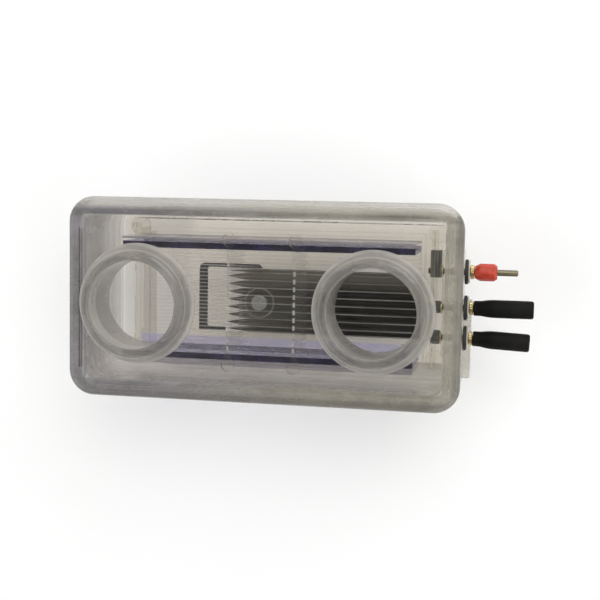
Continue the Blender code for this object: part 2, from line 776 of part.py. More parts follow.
# ---------------------------------------------------------------- electrodes
def electrodes():
    """A platinum wire across each reservoir, in slits on the posts of a clear carrier."""
    base = FLOOR_TOP + GAP
    bar_top, post_top = base + CARRIER_BAR, base + CARRIER_POST
    wire_height = base + WIRE_HEIGHT
    slit_half = 0.0007
    post_inner = ELECTRODE_REACH - POST_WIDTH
    for side, x in zip(("left", "right"), ELECTRODE_X):
        outline = [
            (-ELECTRODE_REACH, base),
            (ELECTRODE_REACH, base),
            (ELECTRODE_REACH, post_top),
            (post_inner, post_top),
            (post_inner, bar_top),
            (-post_inner, bar_top),
            (-post_inner, post_top),
            (-ELECTRODE_REACH, post_top),
        ]
        body = prism(outline, x - CARRIER_HALF, x + CARRIER_HALF, axis="X")
        carrier = piece(f"electrode_carrier_{side}", body, "clear_plastic")
        slit = block(
            (x - slit_half, -ELECTRODE_REACH - OVERLAP, wire_height - 0.001),
            (x + slit_half, ELECTRODE_REACH + OVERLAP, post_top + OVERLAP),
        )
        boolean(carrier, piece(f"wire_slit_{side}", slit, None), "DIFFERENCE")
        reach = ELECTRODE_REACH + 0.0008
        ends = [(x, -reach, wire_height), (x, reach, wire_height)]
        rod(ends, WIRE_RADIUS, f"electrode_wire_{side}", "platinum")


def leads():
    """Two thin leads: one down to the near wire, one round the tub's north side to the far wire."""
    base = FLOOR_TOP + GAP
    right_x = ELECTRODE_X[1] + 0.0045
    red_y, black_y = TERMINAL_Y[0], TERMINAL_Y[1]
    under_red = TERMINAL_HEIGHT - CLAMP_HALF_HEIGHT - LEAD_GAP
    under_black = TERMINAL_HEIGHT - INNER_NUTS[1][0] - LEAD_GAP
    drop = [
        (right_x, red_y, under_red),
        (right_x, red_y, (under_red + base) / 2),
        (right_x, red_y, base + 0.002),
    ]
    rod(drop, LEAD_RADIUS, "lead_right", "platinum")
    run_x, run_z, bend = right_x + 0.003, base + 0.0016, 0.002
    run = [
        (run_x, black_y, under_black),
        (run_x, black_y, run_z + bend),
        (run_x, black_y + bend, run_z),
        (run_x, LEAD_RUN_Y - bend, run_z),
        (run_x - bend, LEAD_RUN_Y, run_z),
        (ELECTRODE_X[0] - bend, LEAD_RUN_Y, run_z),
    ]
    rod(run, LEAD_RADIUS, "lead_left", "platinum")


def main():
    for old in list(bpy.data.objects):
        bpy.data.objects.remove(old)
    tank_body()
    feet()
    comb_guides()
    lid()
    lid_key()
    port_collars()
    tray_floor()
    tray_walls()
    combs()
    lane_plate()
    finger_loop()
    end_blocks()
    for index in range(len(TERMINAL_NAMES)):
        terminal(index)
    electrodes()
    leads()


main()
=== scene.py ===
"""Looks of the gel electrophoresis tank: clear moulded tub and lid, frosted ports, violet tray walls,
ribbed tray floor, combs, black lane plate and three terminals, on a pale floor in soft light."""

import math

import bmesh
import bpy
from mathutils import Matrix, Vector


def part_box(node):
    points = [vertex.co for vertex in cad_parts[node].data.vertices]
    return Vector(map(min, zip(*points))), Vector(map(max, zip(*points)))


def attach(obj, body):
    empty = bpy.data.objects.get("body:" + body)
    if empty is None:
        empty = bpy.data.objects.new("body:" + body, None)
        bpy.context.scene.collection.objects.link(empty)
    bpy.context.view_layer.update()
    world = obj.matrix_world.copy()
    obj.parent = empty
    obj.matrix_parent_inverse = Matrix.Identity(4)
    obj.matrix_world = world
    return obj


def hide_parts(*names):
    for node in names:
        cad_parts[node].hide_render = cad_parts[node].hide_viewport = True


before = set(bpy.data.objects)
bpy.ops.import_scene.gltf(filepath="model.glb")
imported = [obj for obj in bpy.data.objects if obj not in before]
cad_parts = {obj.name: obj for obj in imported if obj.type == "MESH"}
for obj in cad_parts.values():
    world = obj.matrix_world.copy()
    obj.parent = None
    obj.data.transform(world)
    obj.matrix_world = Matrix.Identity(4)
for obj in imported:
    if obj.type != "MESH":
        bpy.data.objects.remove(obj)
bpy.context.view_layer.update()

# -------- places and shared sizes
MM = 0.001
LID_LOW, LID_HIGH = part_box("lid")
MIDDLE_X = (LID_LOW.x + LID_HIGH.x) / 2
LID_HALF_X, LID_HALF_Y = (LID_HIGH.x - LID_LOW.x) / 2, (LID_HIGH.y - LID_LOW.y) / 2
KEY_LOW, KEY_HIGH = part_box("lid_key")
LID_TOP = KEY_HIGH.z + 0.6 * MM
TUB_LOW, TUB_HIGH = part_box("tank_body")
TUB_HALF_X, TUB_HALF_Y = (TUB_HIGH.x - TUB_LOW.x) / 2, (TUB_HIGH.y - TUB_LOW.y) / 2
FLOOR_LOW, FLOOR_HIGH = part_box("tray_floor")
PLATE_LOW, PLATE_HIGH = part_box("lane_plate")
LOOP_LOW, LOOP_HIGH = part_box("finger_loop")
PLATFORM_SOUTH, PLATFORM_NORTH = -46.0 * MM, 44.5 * MM
GAP = 0.3 * MM
BORE = 2.3 * MM
SIDES = ("left", "right")
TERMINALS = ("red", "black_mid", "black_low")
PORT_BORE, PORT_TUBE, PORT_SHOULDER = 28.5 * MM, 31.2 * MM, 35.6 * MM
PORT_LAND_IN, PORT_LAND_OUT = 29.8 * MM, 32.6 * MM
# how far a cutting tool reaches past a wall
THROUGH = 8 * MM


def middle(node):
    """The middle of a node's box."""
    low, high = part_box(node)
    return (low + high) / 2


def round_size(node):
    """A round node's middle, its radius, and how far it reaches to both sides of its middle along X."""
    low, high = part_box(node)
    axis = middle(node)
    return axis, (high.y - low.y) / 2, low.x - axis.x, high.x - axis.x


# -------- mesh helpers
def rounded_rectangle(half_x, half_y, radius, z, steps=14):
    """Points anticlockwise round a rectangle with round corners at the tank's middle."""
    points = []
    for turn, (sign_x, sign_y) in enumerate(((1, 1), (-1, 1), (-1, -1), (1, -1))):
        centre = Vector((MIDDLE_X + sign_x * (half_x - radius), sign_y * (half_y - radius), z))
        for step in range(steps + 1):
            angle = (turn + step / steps) * math.pi / 2
            points.append(centre + Vector((math.cos(angle), math.sin(angle), 0)) * radius)
    return points


def loft(loops):
    """A closed body through loops of equally many points, capped at both ends."""
    shape = bmesh.new()
    rings = [[shape.verts.new(point) for point in loop] for loop in loops]
    for lower, upper in zip(rings, rings[1:]):
        for index in range(len(lower)):
            after = (index + 1) % len(lower)
            shape.faces.new((lower[index], lower[after], upper[after], upper[index]))
    shape.faces.new(list(reversed(rings[0])))
    shape.faces.new(rings[-1])
    return shape


def block(low, high):
    """A box between two corners."""
    shape = bmesh.new()
    low, high = Vector(low), Vector(high)
    place = Matrix.Translation((low + high) / 2) @ Matrix.Diagonal((*(high - low), 1))
    bmesh.ops.create_cube(shape, size=1, matrix=place)
    return shape


def prism(outline, low, high, axis):
    """A flat outline of (across, up) points raised between two levels along X or Y."""
    place = {
        "Y": lambda across, up, level: Vector((across, level, up)),
        "X": lambda across, up, level: Vector((level, across, up)),
    }[axis]
    return loft([[place(across, up, level) for across, up in outline] for level in (low, high)])


def arc(start, corner, end, steps):
    """Points of a curve from start to end that bends towards the corner between them."""
    shares = [step / steps for step in range(steps + 1)]
    return [tuple(start.lerp(corner, share).lerp(corner.lerp(end, share), share)) for share in shares]


def round_profile(points, radii, steps=5):
    """A profile whose corners are rounded: each point takes an arc of its own radius."""
    rounded = []
    count = len(points)
    for index in range(count):
        corner, radius = Vector(points[index]), radii[index]
        before = Vector(points[index - 1]) - corner
        after = Vector(points[(index + 1) % count]) - corner
        half = before.angle(after) / 2
        reach = min(radius / math.tan(half), before.length * 0.48, after.length * 0.48)
        start, end = corner + before.normalized() * reach, corner + after.normalized() * reach
        rounded += arc(start, corner, end, steps)
    return rounded


def turned(profile, sides, axis="Z", closed=True, wave=None):
    """A body turned about an axis from (radius, level) points. A closed profile makes a ring; an open one
    starts and ends on the axis. wave(angle, radius) may change a point's radius."""
    shape = bmesh.new()
    rings = []
    for radius, level in profile:
        if not closed and radius < 1e-6:
            point = (0, 0, level) if axis == "Z" else (level, 0, 0)
            rings.append([shape.verts.new(point)])
            continue
        ring = []
        for side in range(sides):
            angle = 2 * math.pi * side / sides
            size = wave(angle, radius) if wave else radius
            across, up = size * math.cos(angle), size * math.sin(angle)
            ring.append(shape.verts.new((across, up, level) if axis == "Z" else (level, across, up)))
        rings.append(ring)
    pairs = zip(rings, rings[1:] + rings[:1]) if closed else zip(rings, rings[1:])
    for first, second in pairs:
        for side in range(sides):
            after = (side + 1) % sides
            corners = [first[side % len(first)], first[after % len(first)]]
            corners += [second[after % len(second)], second[side % len(second)]]
            shape.faces.new(list(dict.fromkeys(corners)))
    return shape


def rod(radius, low, high, sides, axis="Z", at=(0, 0, 0)):
    """A round rod between two levels of an axis, moved to a place."""
    shape = turned([(0, low), (radius, low), (radius, high), (0, high)], sides, axis, closed=False)
    bmesh.ops.translate(shape, vec=at, verts=shape.verts)
    return shape


def add_object(name, data, location):
    """A new object in the scene."""
    made = bpy.data.objects.new(name, data)
    made.location = location
    bpy.context.scene.collection.objects.link(made)
    return made


def object_from(shape, name, location=(0, 0, 0)):
    """A new object with a shape's mesh, its faces turned outwards."""
    mesh = bpy.data.meshes.new(name)
    bmesh.ops.recalc_face_normals(shape, faces=shape.faces)
    shape.to_mesh(mesh)
    shape.free()
    return add_object(name, mesh, location)


def cut(target, shape, operation="DIFFERENCE"):
    """Cuts a shape out of target, or joins it on, and leaves one plain mesh."""
    tool = object_from(shape, "tool")
    modifier = target.modifiers.new("cut", "BOOLEAN")
    modifier.operation = operation
    modifier.object = tool
    modifier.solver = "EXACT"
    settle(target)
    bpy.data.objects.remove(tool)


def settle(target):
    """Applies an object's modifiers to its mesh."""
    bpy.context.view_layer.update()
    graph = bpy.context.evaluated_depsgraph_get()
    mesh = bpy.data.meshes.new_from_object(target.evaluated_get(graph), depsgraph=graph)
    target.modifiers.clear()
    target.data = mesh


def soften(target, width, angle=30):
    """Rounds the sharp edges of a piece and shades it smoothly."""
    bevel = target.modifiers.new("bevel", "BEVEL")
    bevel.width = width
    bevel.segments = 2
    bevel.limit_method = "ANGLE"
    bevel.angle_limit = math.radians(angle)
    bevel.miter_outer = "MITER_ARC"
    bevel.harden_normals = True
    target.data.shade_smooth()


def wear(target, look, smooth=None):
    """Gives a piece its look by name, and smooth shading up to an angle."""
    target.data.materials.clear()
    target.data.materials.append(LOOKS[look])
    if smooth is not None:
        target.data.shade_smooth()
        target.data.set_sharp_from_angle(angle=math.radians(smooth))


def finish_piece(target, look, body, node, smooth=None):
    """Gives a piece its look and its body, and hides the CAD node it stands for."""
    wear(target, look, smooth)
    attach(target, body)
    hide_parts(node)


def dress(node, look, bevel=None, smooth=None):
    """A new look, and rounded edges, for a CAD node that stays."""
    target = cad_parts[node]
    wear(target, look, smooth)
    if bevel:
        weld = target.modifiers.new("weld", "WELD")
        weld.merge_threshold = 0.00001
        flat = target.modifiers.new("flat", "DECIMATE")
        flat.decimate_type = "DISSOLVE"
        flat.angle_limit = math.radians(1)
        soften(target, bevel)


# -------- node helpers
def add(tree, kind, inputs=None, **settings):
    """One shader node with its settings and its inputs, each a value or another node's socket."""
    node = tree.nodes.new(kind)
    for key, value in settings.items():
        setattr(node, key, value)
    for key, value in (inputs or {}).items():
        if isinstance(value, bpy.types.NodeSocket):
            tree.links.new(value, node.inputs[key])
        else:
            node.inputs[key].default_value = value
    return node


def maths(tree, operation, first, second=0.0, clamp=False):
    """A Math node's result."""
    inputs = {0: first, 1: second}
    return add(tree, "ShaderNodeMath", inputs, operation=operation, use_clamp=clamp).outputs[0]


def times(tree, first, second):
    return maths(tree, "MULTIPLY", first, second)


def highest(tree, first, second):
    return maths(tree, "MAXIMUM", first, second)


def squares(tree, x, y):
    """The sum of two squares."""
    return maths(tree, "ADD", maths(tree, "POWER", x, 2.0), maths(tree, "POWER", y, 2.0))


def noise(tree, stretch, detail=3.0, roughness=0.55, distortion=0.0):
    """Noise in the piece's own space. stretch gives how many times it changes per metre along X, Y, Z."""
    place = add(tree, "ShaderNodeTexCoord").outputs["Object"]
    mapped = add(tree, "ShaderNodeMapping", {"Vector": place, "Scale": stretch}).outputs["Vector"]
    inputs = {"Vector": mapped, "Scale": 1.0, "Detail": detail, "Roughness": roughness}
    inputs["Distortion"] = distortion
    return add(tree, "ShaderNodeTexNoise", inputs).outputs["Fac"]


def spread(tree, value, low, high, out_low=0.0, out_high=1.0):
    """Maps low..high of a value smoothly to out_low..out_high, held at both ends."""
    inputs = {"Value": value, "From Min": low, "From Max": high, "To Min": out_low, "To Max": out_high}
    return add(tree, "ShaderNodeMapRange", inputs, interpolation_type="SMOOTHSTEP").outputs[0]


def blend(tree, share, first, second):
    """A colour between two, each (red, green, blue) or another node's socket."""
    inputs = {0: share}
    for key, colour in ((6, first), (7, second)):
        inputs[key] = colour if isinstance(colour, bpy.types.NodeSocket) else (*colour, 1.0)
    return add(tree, "ShaderNodeMix", inputs, data_type="RGBA").outputs[2]


def bump(tree, height, distance, strength):
    inputs = {"Height": height, "Distance": distance, "Strength": strength}
    return add(tree, "ShaderNodeBump", inputs).outputs["Normal"]


def start_look(name):
    """A new empty material and its node tree."""
    look = bpy.data.materials.new(name)
    look.use_nodes = True
    look.node_tree.nodes.clear()
    return look, look.node_tree


def end_look(tree, shader):
    output = add(tree, "ShaderNodeOutputMaterial")
    tree.links.new(shader.outputs[0], output.inputs["Surface"])


def mix_shaders(tree, share, first, second):
    node = add(tree, "ShaderNodeMixShader", {0: share})
    tree.links.new(first.outputs[0], node.inputs[1])
    tree.links.new(second.outputs[0], node.inputs[2])
    return node


def pass_light(tree, shader, colour):
    """Lets lamps and sky light what lies behind a clear piece, as clear plastic does."""
    lamp_ray = add(tree, "ShaderNodeLightPath").outputs["Is Shadow Ray"]
    passed = add(tree, "ShaderNodeBsdfTransparent", {"Color": (*colour, 1.0)})
    return mix_shaders(tree, lamp_ray, shader, passed)


MIRROR_BASE, MIRROR_GAIN = 0.011, 0.5
LAMP_SHARE = (0.975, 0.973, 0.965)


def clear_look(
    name, tint, deep, veil, haze, edge,
    roughness=0.2, streaks=0.0, power=2.5, frost=None, lilac=0.0, tone=None, passes=LAMP_SHARE,
):
    """Clear moulded plastic. It lets light through with a tint that deepens where it is seen along its
    wall, carries a thin uneven veil of haze (haze gives its least and most) and fine scuffs, and mirrors
    at a glancing angle. frost adds haze of its own in places, lilac tints the veil in patches towards the
    end away from the terminals, tone recolours it by place, and passes is the light that lamps send on."""
    look, tree = start_look(name)
    facing = facing_away(tree)
    along = maths(tree, "POWER", facing, power)
    mottle = noise(tree, (34, 46, 40), detail=4, roughness=0.6)
    fine = noise(tree, (900, 900, 900), detail=2)
    share = spread(tree, mottle, 0.3, 0.7, *haze)
    if streaks:
        scuff = noise(tree, (9, 420, 420), detail=4, roughness=0.7, distortion=0.3)
        share = maths(tree, "ADD", share, spread(tree, scuff, 0.56, 0.74, 0.0, streaks))
    share = maths(tree, "ADD", share, times(tree, along, edge), clamp=True)
    if frost:
        share = highest(tree, share, frost(tree))
    ripple = maths(tree, "ADD", times(tree, fine, 0.25), mottle)
    normal = bump(tree, ripple, 0.0004, 0.35)
    patch = spread(tree, noise(tree, (18, 60, 40), detail=3), 0.35, 0.65)
    colour = blend(tree, patch, tuple(0.78 * level for level in veil), veil)
    if lilac:
        wide = spread(tree, noise(tree, (14, 14, 14), detail=3, roughness=0.6), 0.42, 0.66, 0.0, lilac)
        wide = times(tree, wide, leftward(tree))
        colour = blend(tree, wide, colour, (0.33, 0.32, 0.42))
    if tone:
        colour = tone(tree, colour)
    rough = spread(tree, mottle, 0.3, 0.7, roughness, roughness * 1.6)
    inputs = {"Base Color": colour, "Roughness": rough, "Normal": normal}
    solid = add(tree, "ShaderNodeBsdfPrincipled", inputs)
    through = add(tree, "ShaderNodeBsdfTransparent", {"Color": blend(tree, along, tint, deep)})
    shine = add(tree, "ShaderNodeBsdfGlossy", {"Color": (1, 1, 1, 1), "Roughness": 0.09, "Normal": normal})
    inputs = {0: maths(tree, "POWER", facing, 4.0), 1: MIRROR_GAIN, 2: MIRROR_BASE}
    mirror = add(tree, "ShaderNodeMath", inputs, operation="MULTIPLY_ADD").outputs[0]
    surface = mix_shaders(tree, mirror, mix_shaders(tree, share, through, solid), shine)
    end_look(tree, pass_light(tree, surface, passes))
    return look


def solid_look(
    name, light, dark, stretch=(60, 60, 60), roughness=(0.35, 0.55), metallic=0.0,
    bump_size=0.0, bump_stretch=(1200, 1200, 1200), worn=None, specular=0.5,
):
    """An opaque finish: two tones in patches, uneven roughness, a fine bump and rubbed edges."""
    look, tree = start_look(name)
    patches = noise(tree, stretch, detail=5, roughness=0.62)
    fine = noise(tree, bump_stretch, detail=3)
    colour = blend(tree, spread(tree, patches, 0.32, 0.68), dark, light)
    if worn:
        edge = add(tree, "ShaderNodeNewGeometry").outputs["Pointiness"]
        rubbed = times(tree, spread(tree, edge, 0.5, 0.56), spread(tree, patches, 0.3, 0.75))
        colour = blend(tree, rubbed, colour, worn)
    inputs = {
        "Base Color": colour,
        "Roughness": spread(tree, patches, 0.3, 0.7, *roughness),
        "Metallic": metallic,
        "Specular IOR Level": specular,
        "Normal": bump(tree, fine, 0.0002, bump_size),
    }
    end_look(tree, add(tree, "ShaderNodeBsdfPrincipled", inputs))
    return look


# -------- looks
LOOKS = {}
RIB_HAZE = 0.4
LILAC_STRIP_HAZE = 0.34
LUG_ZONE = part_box("comb_left")[1].y - 9 * MM
WALL_ZONE = 11 * MM
BORDER = 12.5 * MM
BORDER_HAZE = (0.6, 0.9)
GATE_RADIUS, HALO_RADIUS = 5.0 * MM, 9.4 * MM


def place_along(tree, axis):
    """The coordinate of the shaded point along one axis of its piece."""
    place = add(tree, "ShaderNodeTexCoord").outputs["Object"]
    return add(tree, "ShaderNodeSeparateXYZ", {0: place}).outputs[axis]


def leftward(tree):
    """1 at the end of the tank away from the terminals, 0 from its middle on."""
    return spread(tree, place_along(tree, "X"), MIDDLE_X + 60 * MM, MIDDLE_X - 90 * MM)


def facing_up(tree):
    """1 where the surface lies flat, 0 where it stands."""
    normal = add(tree, "ShaderNodeNewGeometry").outputs["Normal"]
    return maths(tree, "ABSOLUTE", add(tree, "ShaderNodeSeparateXYZ", {0: normal}).outputs["Z"])


def standing(tree):
    """1 on walls, 0 on flat faces."""
    return spread(tree, facing_up(tree), 0.5, 0.2)


def facing_away(tree):
    """0 where the surface is seen straight on, rising to 1 at a glancing angle."""
    return add(tree, "ShaderNodeLayerWeight", {"Blend": 0.5}).outputs["Facing"]


def comb_mark(tree):
    """1 on the comb's raised marks."""
    return spread(tree, place_along(tree, "Z"), 0.02 * MM, 0.12 * MM)


def lug_rim(tree):
    """1 on the standing rims of the comb's end lugs."""
    level = spread(tree, place_along(tree, "Z"), -3.4 * MM, -3.1 * MM)
    rim = times(tree, level, spread(tree, facing_up(tree), 0.9, 0.5))
    off_y = maths(tree, "ABSOLUTE", place_along(tree, "Y"))
    return times(tree, rim, spread(tree, off_y, LUG_ZONE, LUG_ZONE + 0.5 * MM))


def comb_frost(tree):
    """The comb's raised marks and the rims of its end lugs are frosted, the rest of it is clear."""
    rims = times(tree, lug_rim(tree), 0.6)
    return highest(tree, times(tree, comb_mark(tree), 0.9), rims)


def comb_tone(tree, colour):
    """The lugs' rims are grey beside the white marks."""
    return blend(tree, lug_rim(tree), colour, (0.2, 0.19, 0.185))


def violet_foot(tree):
    """1 on the strip of the tray's floor beside the south wall."""
    return spread(tree, place_along(tree, "Y"), FLOOR_LOW.y + 6.2 * MM, FLOOR_LOW.y + 5.2 * MM)


def tray_frost(tree):
    """The crests of the tray's ribs are dulled by wear, most over the loop, and the strip beside the
    south wall is hazed."""
    x, z = place_along(tree, "X"), place_along(tree, "Z")
    crest = spread(tree, z, FLOOR_HIGH.z - 0.8 * MM, FLOOR_HIGH.z - 0.3 * MM, 0.0, RIB_HAZE)
    before_loop = spread(tree, x, LOOP_LOW.x - 22 * MM, LOOP_LOW.x - 6 * MM, 0.1, 1.0)
    before_lanes = spread(tree, x, PLATE_LOW.x + 26 * MM, PLATE_LOW.x - 2 * MM, 0.06, 1.0)
    crest = times(tree, crest, times(tree, before_loop, before_lanes))
    return highest(tree, crest, times(tree, violet_foot(tree), LILAC_STRIP_HAZE))


def tray_tone(tree, colour):
    """The strip beside the south wall is lilac."""
    return blend(tree, violet_foot(tree), colour, (0.335, 0.325, 0.49))


def guide_frost(tree):
    """The sawn top edge of a comb guide is dull."""
    return spread(tree, facing_up(tree), 0.6, 0.9, 0.0, 0.85)


def from_middle(tree):
    """How far the shaded point lies from the tank's middle lines, along X and across."""
    off_x = maths(tree, "ABSOLUTE", maths(tree, "SUBTRACT", place_along(tree, "X"), MIDDLE_X))
    return off_x, maths(tree, "ABSOLUTE", place_along(tree, "Y"))


def tub_frost(tree):
    """The tub's outer walls are milky where they are seen along their depth, in streaks that run along
    them; its flat faces at the end away from the terminals are dull where buffer has dried, and the floor
    along the south side is milky grey, painted shade."""
    off_x, off_y = from_middle(tree)
    outer = highest(
        tree,
        spread(tree, off_x, TUB_HALF_X - WALL_ZONE, TUB_HALF_X - WALL_ZONE + 1 * MM),
        spread(tree, off_y, TUB_HALF_Y - WALL_ZONE, TUB_HALF_Y - WALL_ZONE + 1 * MM),
    )
    scuffed = spread(tree, noise(tree, (8, 8, 240), detail=5, roughness=0.65), 0.3, 0.7, 0.72, 1.12)
    amount = spread(tree, leftward(tree), 0.0, 0.8, 0.58, 0.7)
    z = place_along(tree, "Z")
    depth = spread(tree, z, TUB_LOW.z + 6 * MM, TUB_HIGH.z - 18 * MM, 0.45, 1.0)
    share = times(tree, times(tree, amount, depth), scuffed)
    share = times(tree, share, spread(tree, facing_away(tree), 0.3, 0.56, 0.16, 1.0))
    walls = times(tree, times(tree, standing(tree), outer), share)
    # the south strip's milky grey is painted shade
    settled = highest(tree, times(tree, south_haze_and_shade(tree), 0.42), times(tree, film(tree), 0.13))
    return highest(tree, walls, settled)


def south_haze_and_shade(tree):
    """1 on the tub's floor along the south side, made milky and grey: painted shade in the low strip beside
    the south wall.
    """
    south = spread(tree, place_along(tree, "Y"), PLATFORM_SOUTH + 0.4 * MM, PLATFORM_SOUTH - 0.4 * MM)
    low = spread(tree, place_along(tree, "Z"), TUB_LOW.z + 9 * MM, TUB_LOW.z + 6 * MM)
    patch = spread(tree, noise(tree, (30, 60, 40), detail=5, roughness=0.65), 0.25, 0.6, 0.55, 1.0)
    return times(tree, times(tree, south, low), patch)


def film(tree):
    """1 on the flat faces at the end away from the terminals, which are dull with dried buffer."""
    left = spread(tree, place_along(tree, "X"), FLOOR_LOW.x + 40 * MM, FLOOR_LOW.x + 22 * MM)
    inside = spread(tree, place_along(tree, "Z"), FLOOR_LOW.z + 2 * MM, FLOOR_LOW.z + 1 * MM)
    flat = spread(tree, facing_up(tree), 0.5, 0.8)
    return times(tree, times(tree, left, inside), flat)


def tub_tone(tree, colour):
    """The milky walls, the dried films and the south strip are greyer than the rest. They are darker at the
    left, painted shade on the side away from the lamps, with a lilac cast there; the south strip's grey is
    painted shade.
    """
    grey = spread(tree, noise(tree, (12, 12, 90), detail=5, roughness=0.7), 0.3, 0.7)
    # darker grey at the left: painted shade on the side away from the lamps, with a lilac cast
    left = blend(tree, grey, (0.17, 0.163, 0.168), (0.28, 0.268, 0.285))
    right = blend(tree, grey, (0.21, 0.203, 0.185), (0.31, 0.3, 0.275))
    wall = blend(tree, leftward(tree), right, left)
    milky = highest(tree, standing(tree), highest(tree, south_haze_and_shade(tree), film(tree)))
    return blend(tree, milky, colour, wall)


def in_border(tree, off, half):
    """1 on the lid's border, from how far the point is off a middle line and the lid's half size."""
    return spread(tree, off, half - BORDER, half - BORDER + 1.5 * MM)


def lid_frost(tree):
    """The lid's border is milky with streaks that run round it, less so at its north edge and beside the
    terminals, and the scar of its gate is dull."""
    off_x, off_y = from_middle(tree)
    x, y = place_along(tree, "X"), place_along(tree, "Y")
    bright_edge = spread(tree, y, LID_HALF_Y - 7 * MM, LID_HALF_Y - 4 * MM, 1.0, 0.55)
    thin = spread(tree, x, LID_HIGH.x - 26 * MM, LID_HIGH.x - 14 * MM, 1.0, 0.72)
    thin = maths(tree, "ADD", thin, spread(tree, x, LID_HIGH.x - 7 * MM, LID_HIGH.x - 3 * MM, 0.0, 0.5))
    shares = []
    for off, half, stretch in ((off_x, LID_HALF_X, (320, 8, 60)), (off_y, LID_HALF_Y, (8, 320, 60))):
        milk = spread(tree, noise(tree, stretch, detail=5, roughness=0.65), 0.3, 0.72, *BORDER_HAZE)
        milk = times(tree, times(tree, in_border(tree, off, half), milk), bright_edge)
        shares.append(times(tree, milk, thin))
    reach = squares(tree, off_x, off_y)
    outer, inner = GATE_RADIUS + GAP, GATE_RADIUS - GAP
    gate = spread(tree, reach, outer**2, inner**2, 0.0, 0.17)
    halo = maths(tree, "ABSOLUTE", maths(tree, "SUBTRACT", maths(tree, "SQRT", reach), HALO_RADIUS))
    gate = highest(tree, gate, spread(tree, halo, 0.5 * MM, 0.2 * MM, 0.0, 0.13))
    return highest(tree, highest(tree, *shares), gate)


def lid_tone(tree, colour):
    """The border's milkiness is greyer than the haze of the flat middle, and warmer at the terminals' end.
    Its north edge is lighter, painted light, and a dark band inside it is painted shade; its left part, the
    outer rim at both ends and the south edge are darker, painted shade.
    """
    off_x, off_y = from_middle(tree)
    border = highest(tree, in_border(tree, off_x, LID_HALF_X), in_border(tree, off_y, LID_HALF_Y))
    grey = spread(tree, noise(tree, (30, 60, 60), detail=5, roughness=0.7), 0.3, 0.7)
    # darker grey at the left: painted shade on the side away from the lamps; warmer beige at the right
    left = blend(tree, grey, (0.135, 0.128, 0.13), (0.24, 0.226, 0.244))
    right = blend(tree, grey, (0.2, 0.186, 0.148), (0.32, 0.302, 0.246))
    milk = blend(tree, leftward(tree), right, left)
    y = place_along(tree, "Y")
    # painted light: the north edge is lighter, as if lit by the key lamp
    north = spread(tree, y, LID_HALF_Y - 9 * MM, LID_HALF_Y - 4 * MM, 0.0, 0.6)
    milk = blend(tree, north, milk, (0.46, 0.45, 0.41))
    # painted shade: a dark band just inside the north border
    shade = times(
        tree,
        spread(tree, y, LID_HALF_Y - 13.5 * MM, LID_HALF_Y - 12.0 * MM, 0.0, 0.38),
        spread(tree, y, LID_HALF_Y - 7.0 * MM, LID_HALF_Y - 8.4 * MM),
    )
    milk = blend(tree, shade, milk, (0.05, 0.048, 0.045))
    # painted shade: the outer rim at both ends and along the south edge is darker
    rim = spread(tree, off_x, LID_HALF_X - 6 * MM, LID_HALF_X - 1 * MM, 0.0, 0.6)
    rim = highest(tree, rim, spread(tree, y, 11 * MM - LID_HALF_Y, 3 * MM - LID_HALF_Y, 0.0, 0.6))
    milk = blend(tree, rim, milk, (0.095, 0.089, 0.08))
    return blend(tree, border, colour, milk)


def port_tone(tree, colour):
    """The port's rounded edges and the line round its shoulder are painted lighter as highlights, it is
    painted lighter as a sheen at a glancing angle, and its top land is worn in short dark streaks.
    """
    x, y = place_along(tree, "X"), place_along(tree, "Y")
    radius = maths(tree, "SQRT", squares(tree, x, y))
    turn = maths(tree, "ARCTAN2", y, x)
    land = times(
        tree,
        spread(tree, radius, PORT_LAND_IN - 0.6 * MM, PORT_LAND_IN + 0.6 * MM),
        spread(tree, radius, PORT_LAND_OUT + 2.2 * MM, PORT_LAND_OUT + 0.4 * MM),
    )
    round_place = add(tree, "ShaderNodeCombineXYZ", {"X": turn, "Y": times(tree, radius, 240.0)})
    inputs = {"Vector": round_place.outputs[0], "Scale": 1.7, "Detail": 5.0, "Roughness": 0.65}
    streak = add(tree, "ShaderNodeTexNoise", inputs).outputs["Fac"]
    dull = spread(tree, streak, 0.35, 0.6, 0.15, 0.9)
    colour = blend(tree, times(tree, land, dull), colour, (0.14, 0.136, 0.128))
    specks = spread(tree, noise(tree, (150, 150, 40), detail=5, roughness=0.75), 0.58, 0.68, 0.0, 0.85)
    colour = blend(tree, times(tree, land, specks), colour, (0.05, 0.048, 0.045))
    # painted highlight: the bore's top edge and the flare beyond the shoulder are lighter
    edge_highlight = spread(tree, radius, PORT_BORE + 0.5 * MM, PORT_BORE + 0.2 * MM, 0.0, 0.6)
    flare = spread(tree, radius, PORT_SHOULDER + 1 * MM, PORT_SHOULDER + 3 * MM, 0.0, 0.55)
    edge_highlight = highest(tree, edge_highlight, flare)
    edge_highlight = times(tree, edge_highlight, spread(tree, place_along(tree, "Z"), LID_TOP, LID_TOP + 1 * MM))
    colour = blend(tree, edge_highlight, colour, (0.64, 0.62, 0.575))
    # painted highlight: a light line round the shoulder
    ring_highlight = maths(tree, "ABSOLUTE", maths(tree, "SUBTRACT", radius, PORT_SHOULDER - 0.2 * MM))
    ring_highlight = spread(tree, ring_highlight, 0.45 * MM, 0.15 * MM, 0.0, 0.45)
    colour = blend(tree, ring_highlight, colour, (0.6, 0.58, 0.54))
    # painted sheen: lighter where the surface is seen at a glancing angle
    glancing = spread(tree, facing_away(tree), 0.5, 0.92, 0.0, 0.55)
    return blend(tree, glancing, colour, (0.58, 0.56, 0.52))


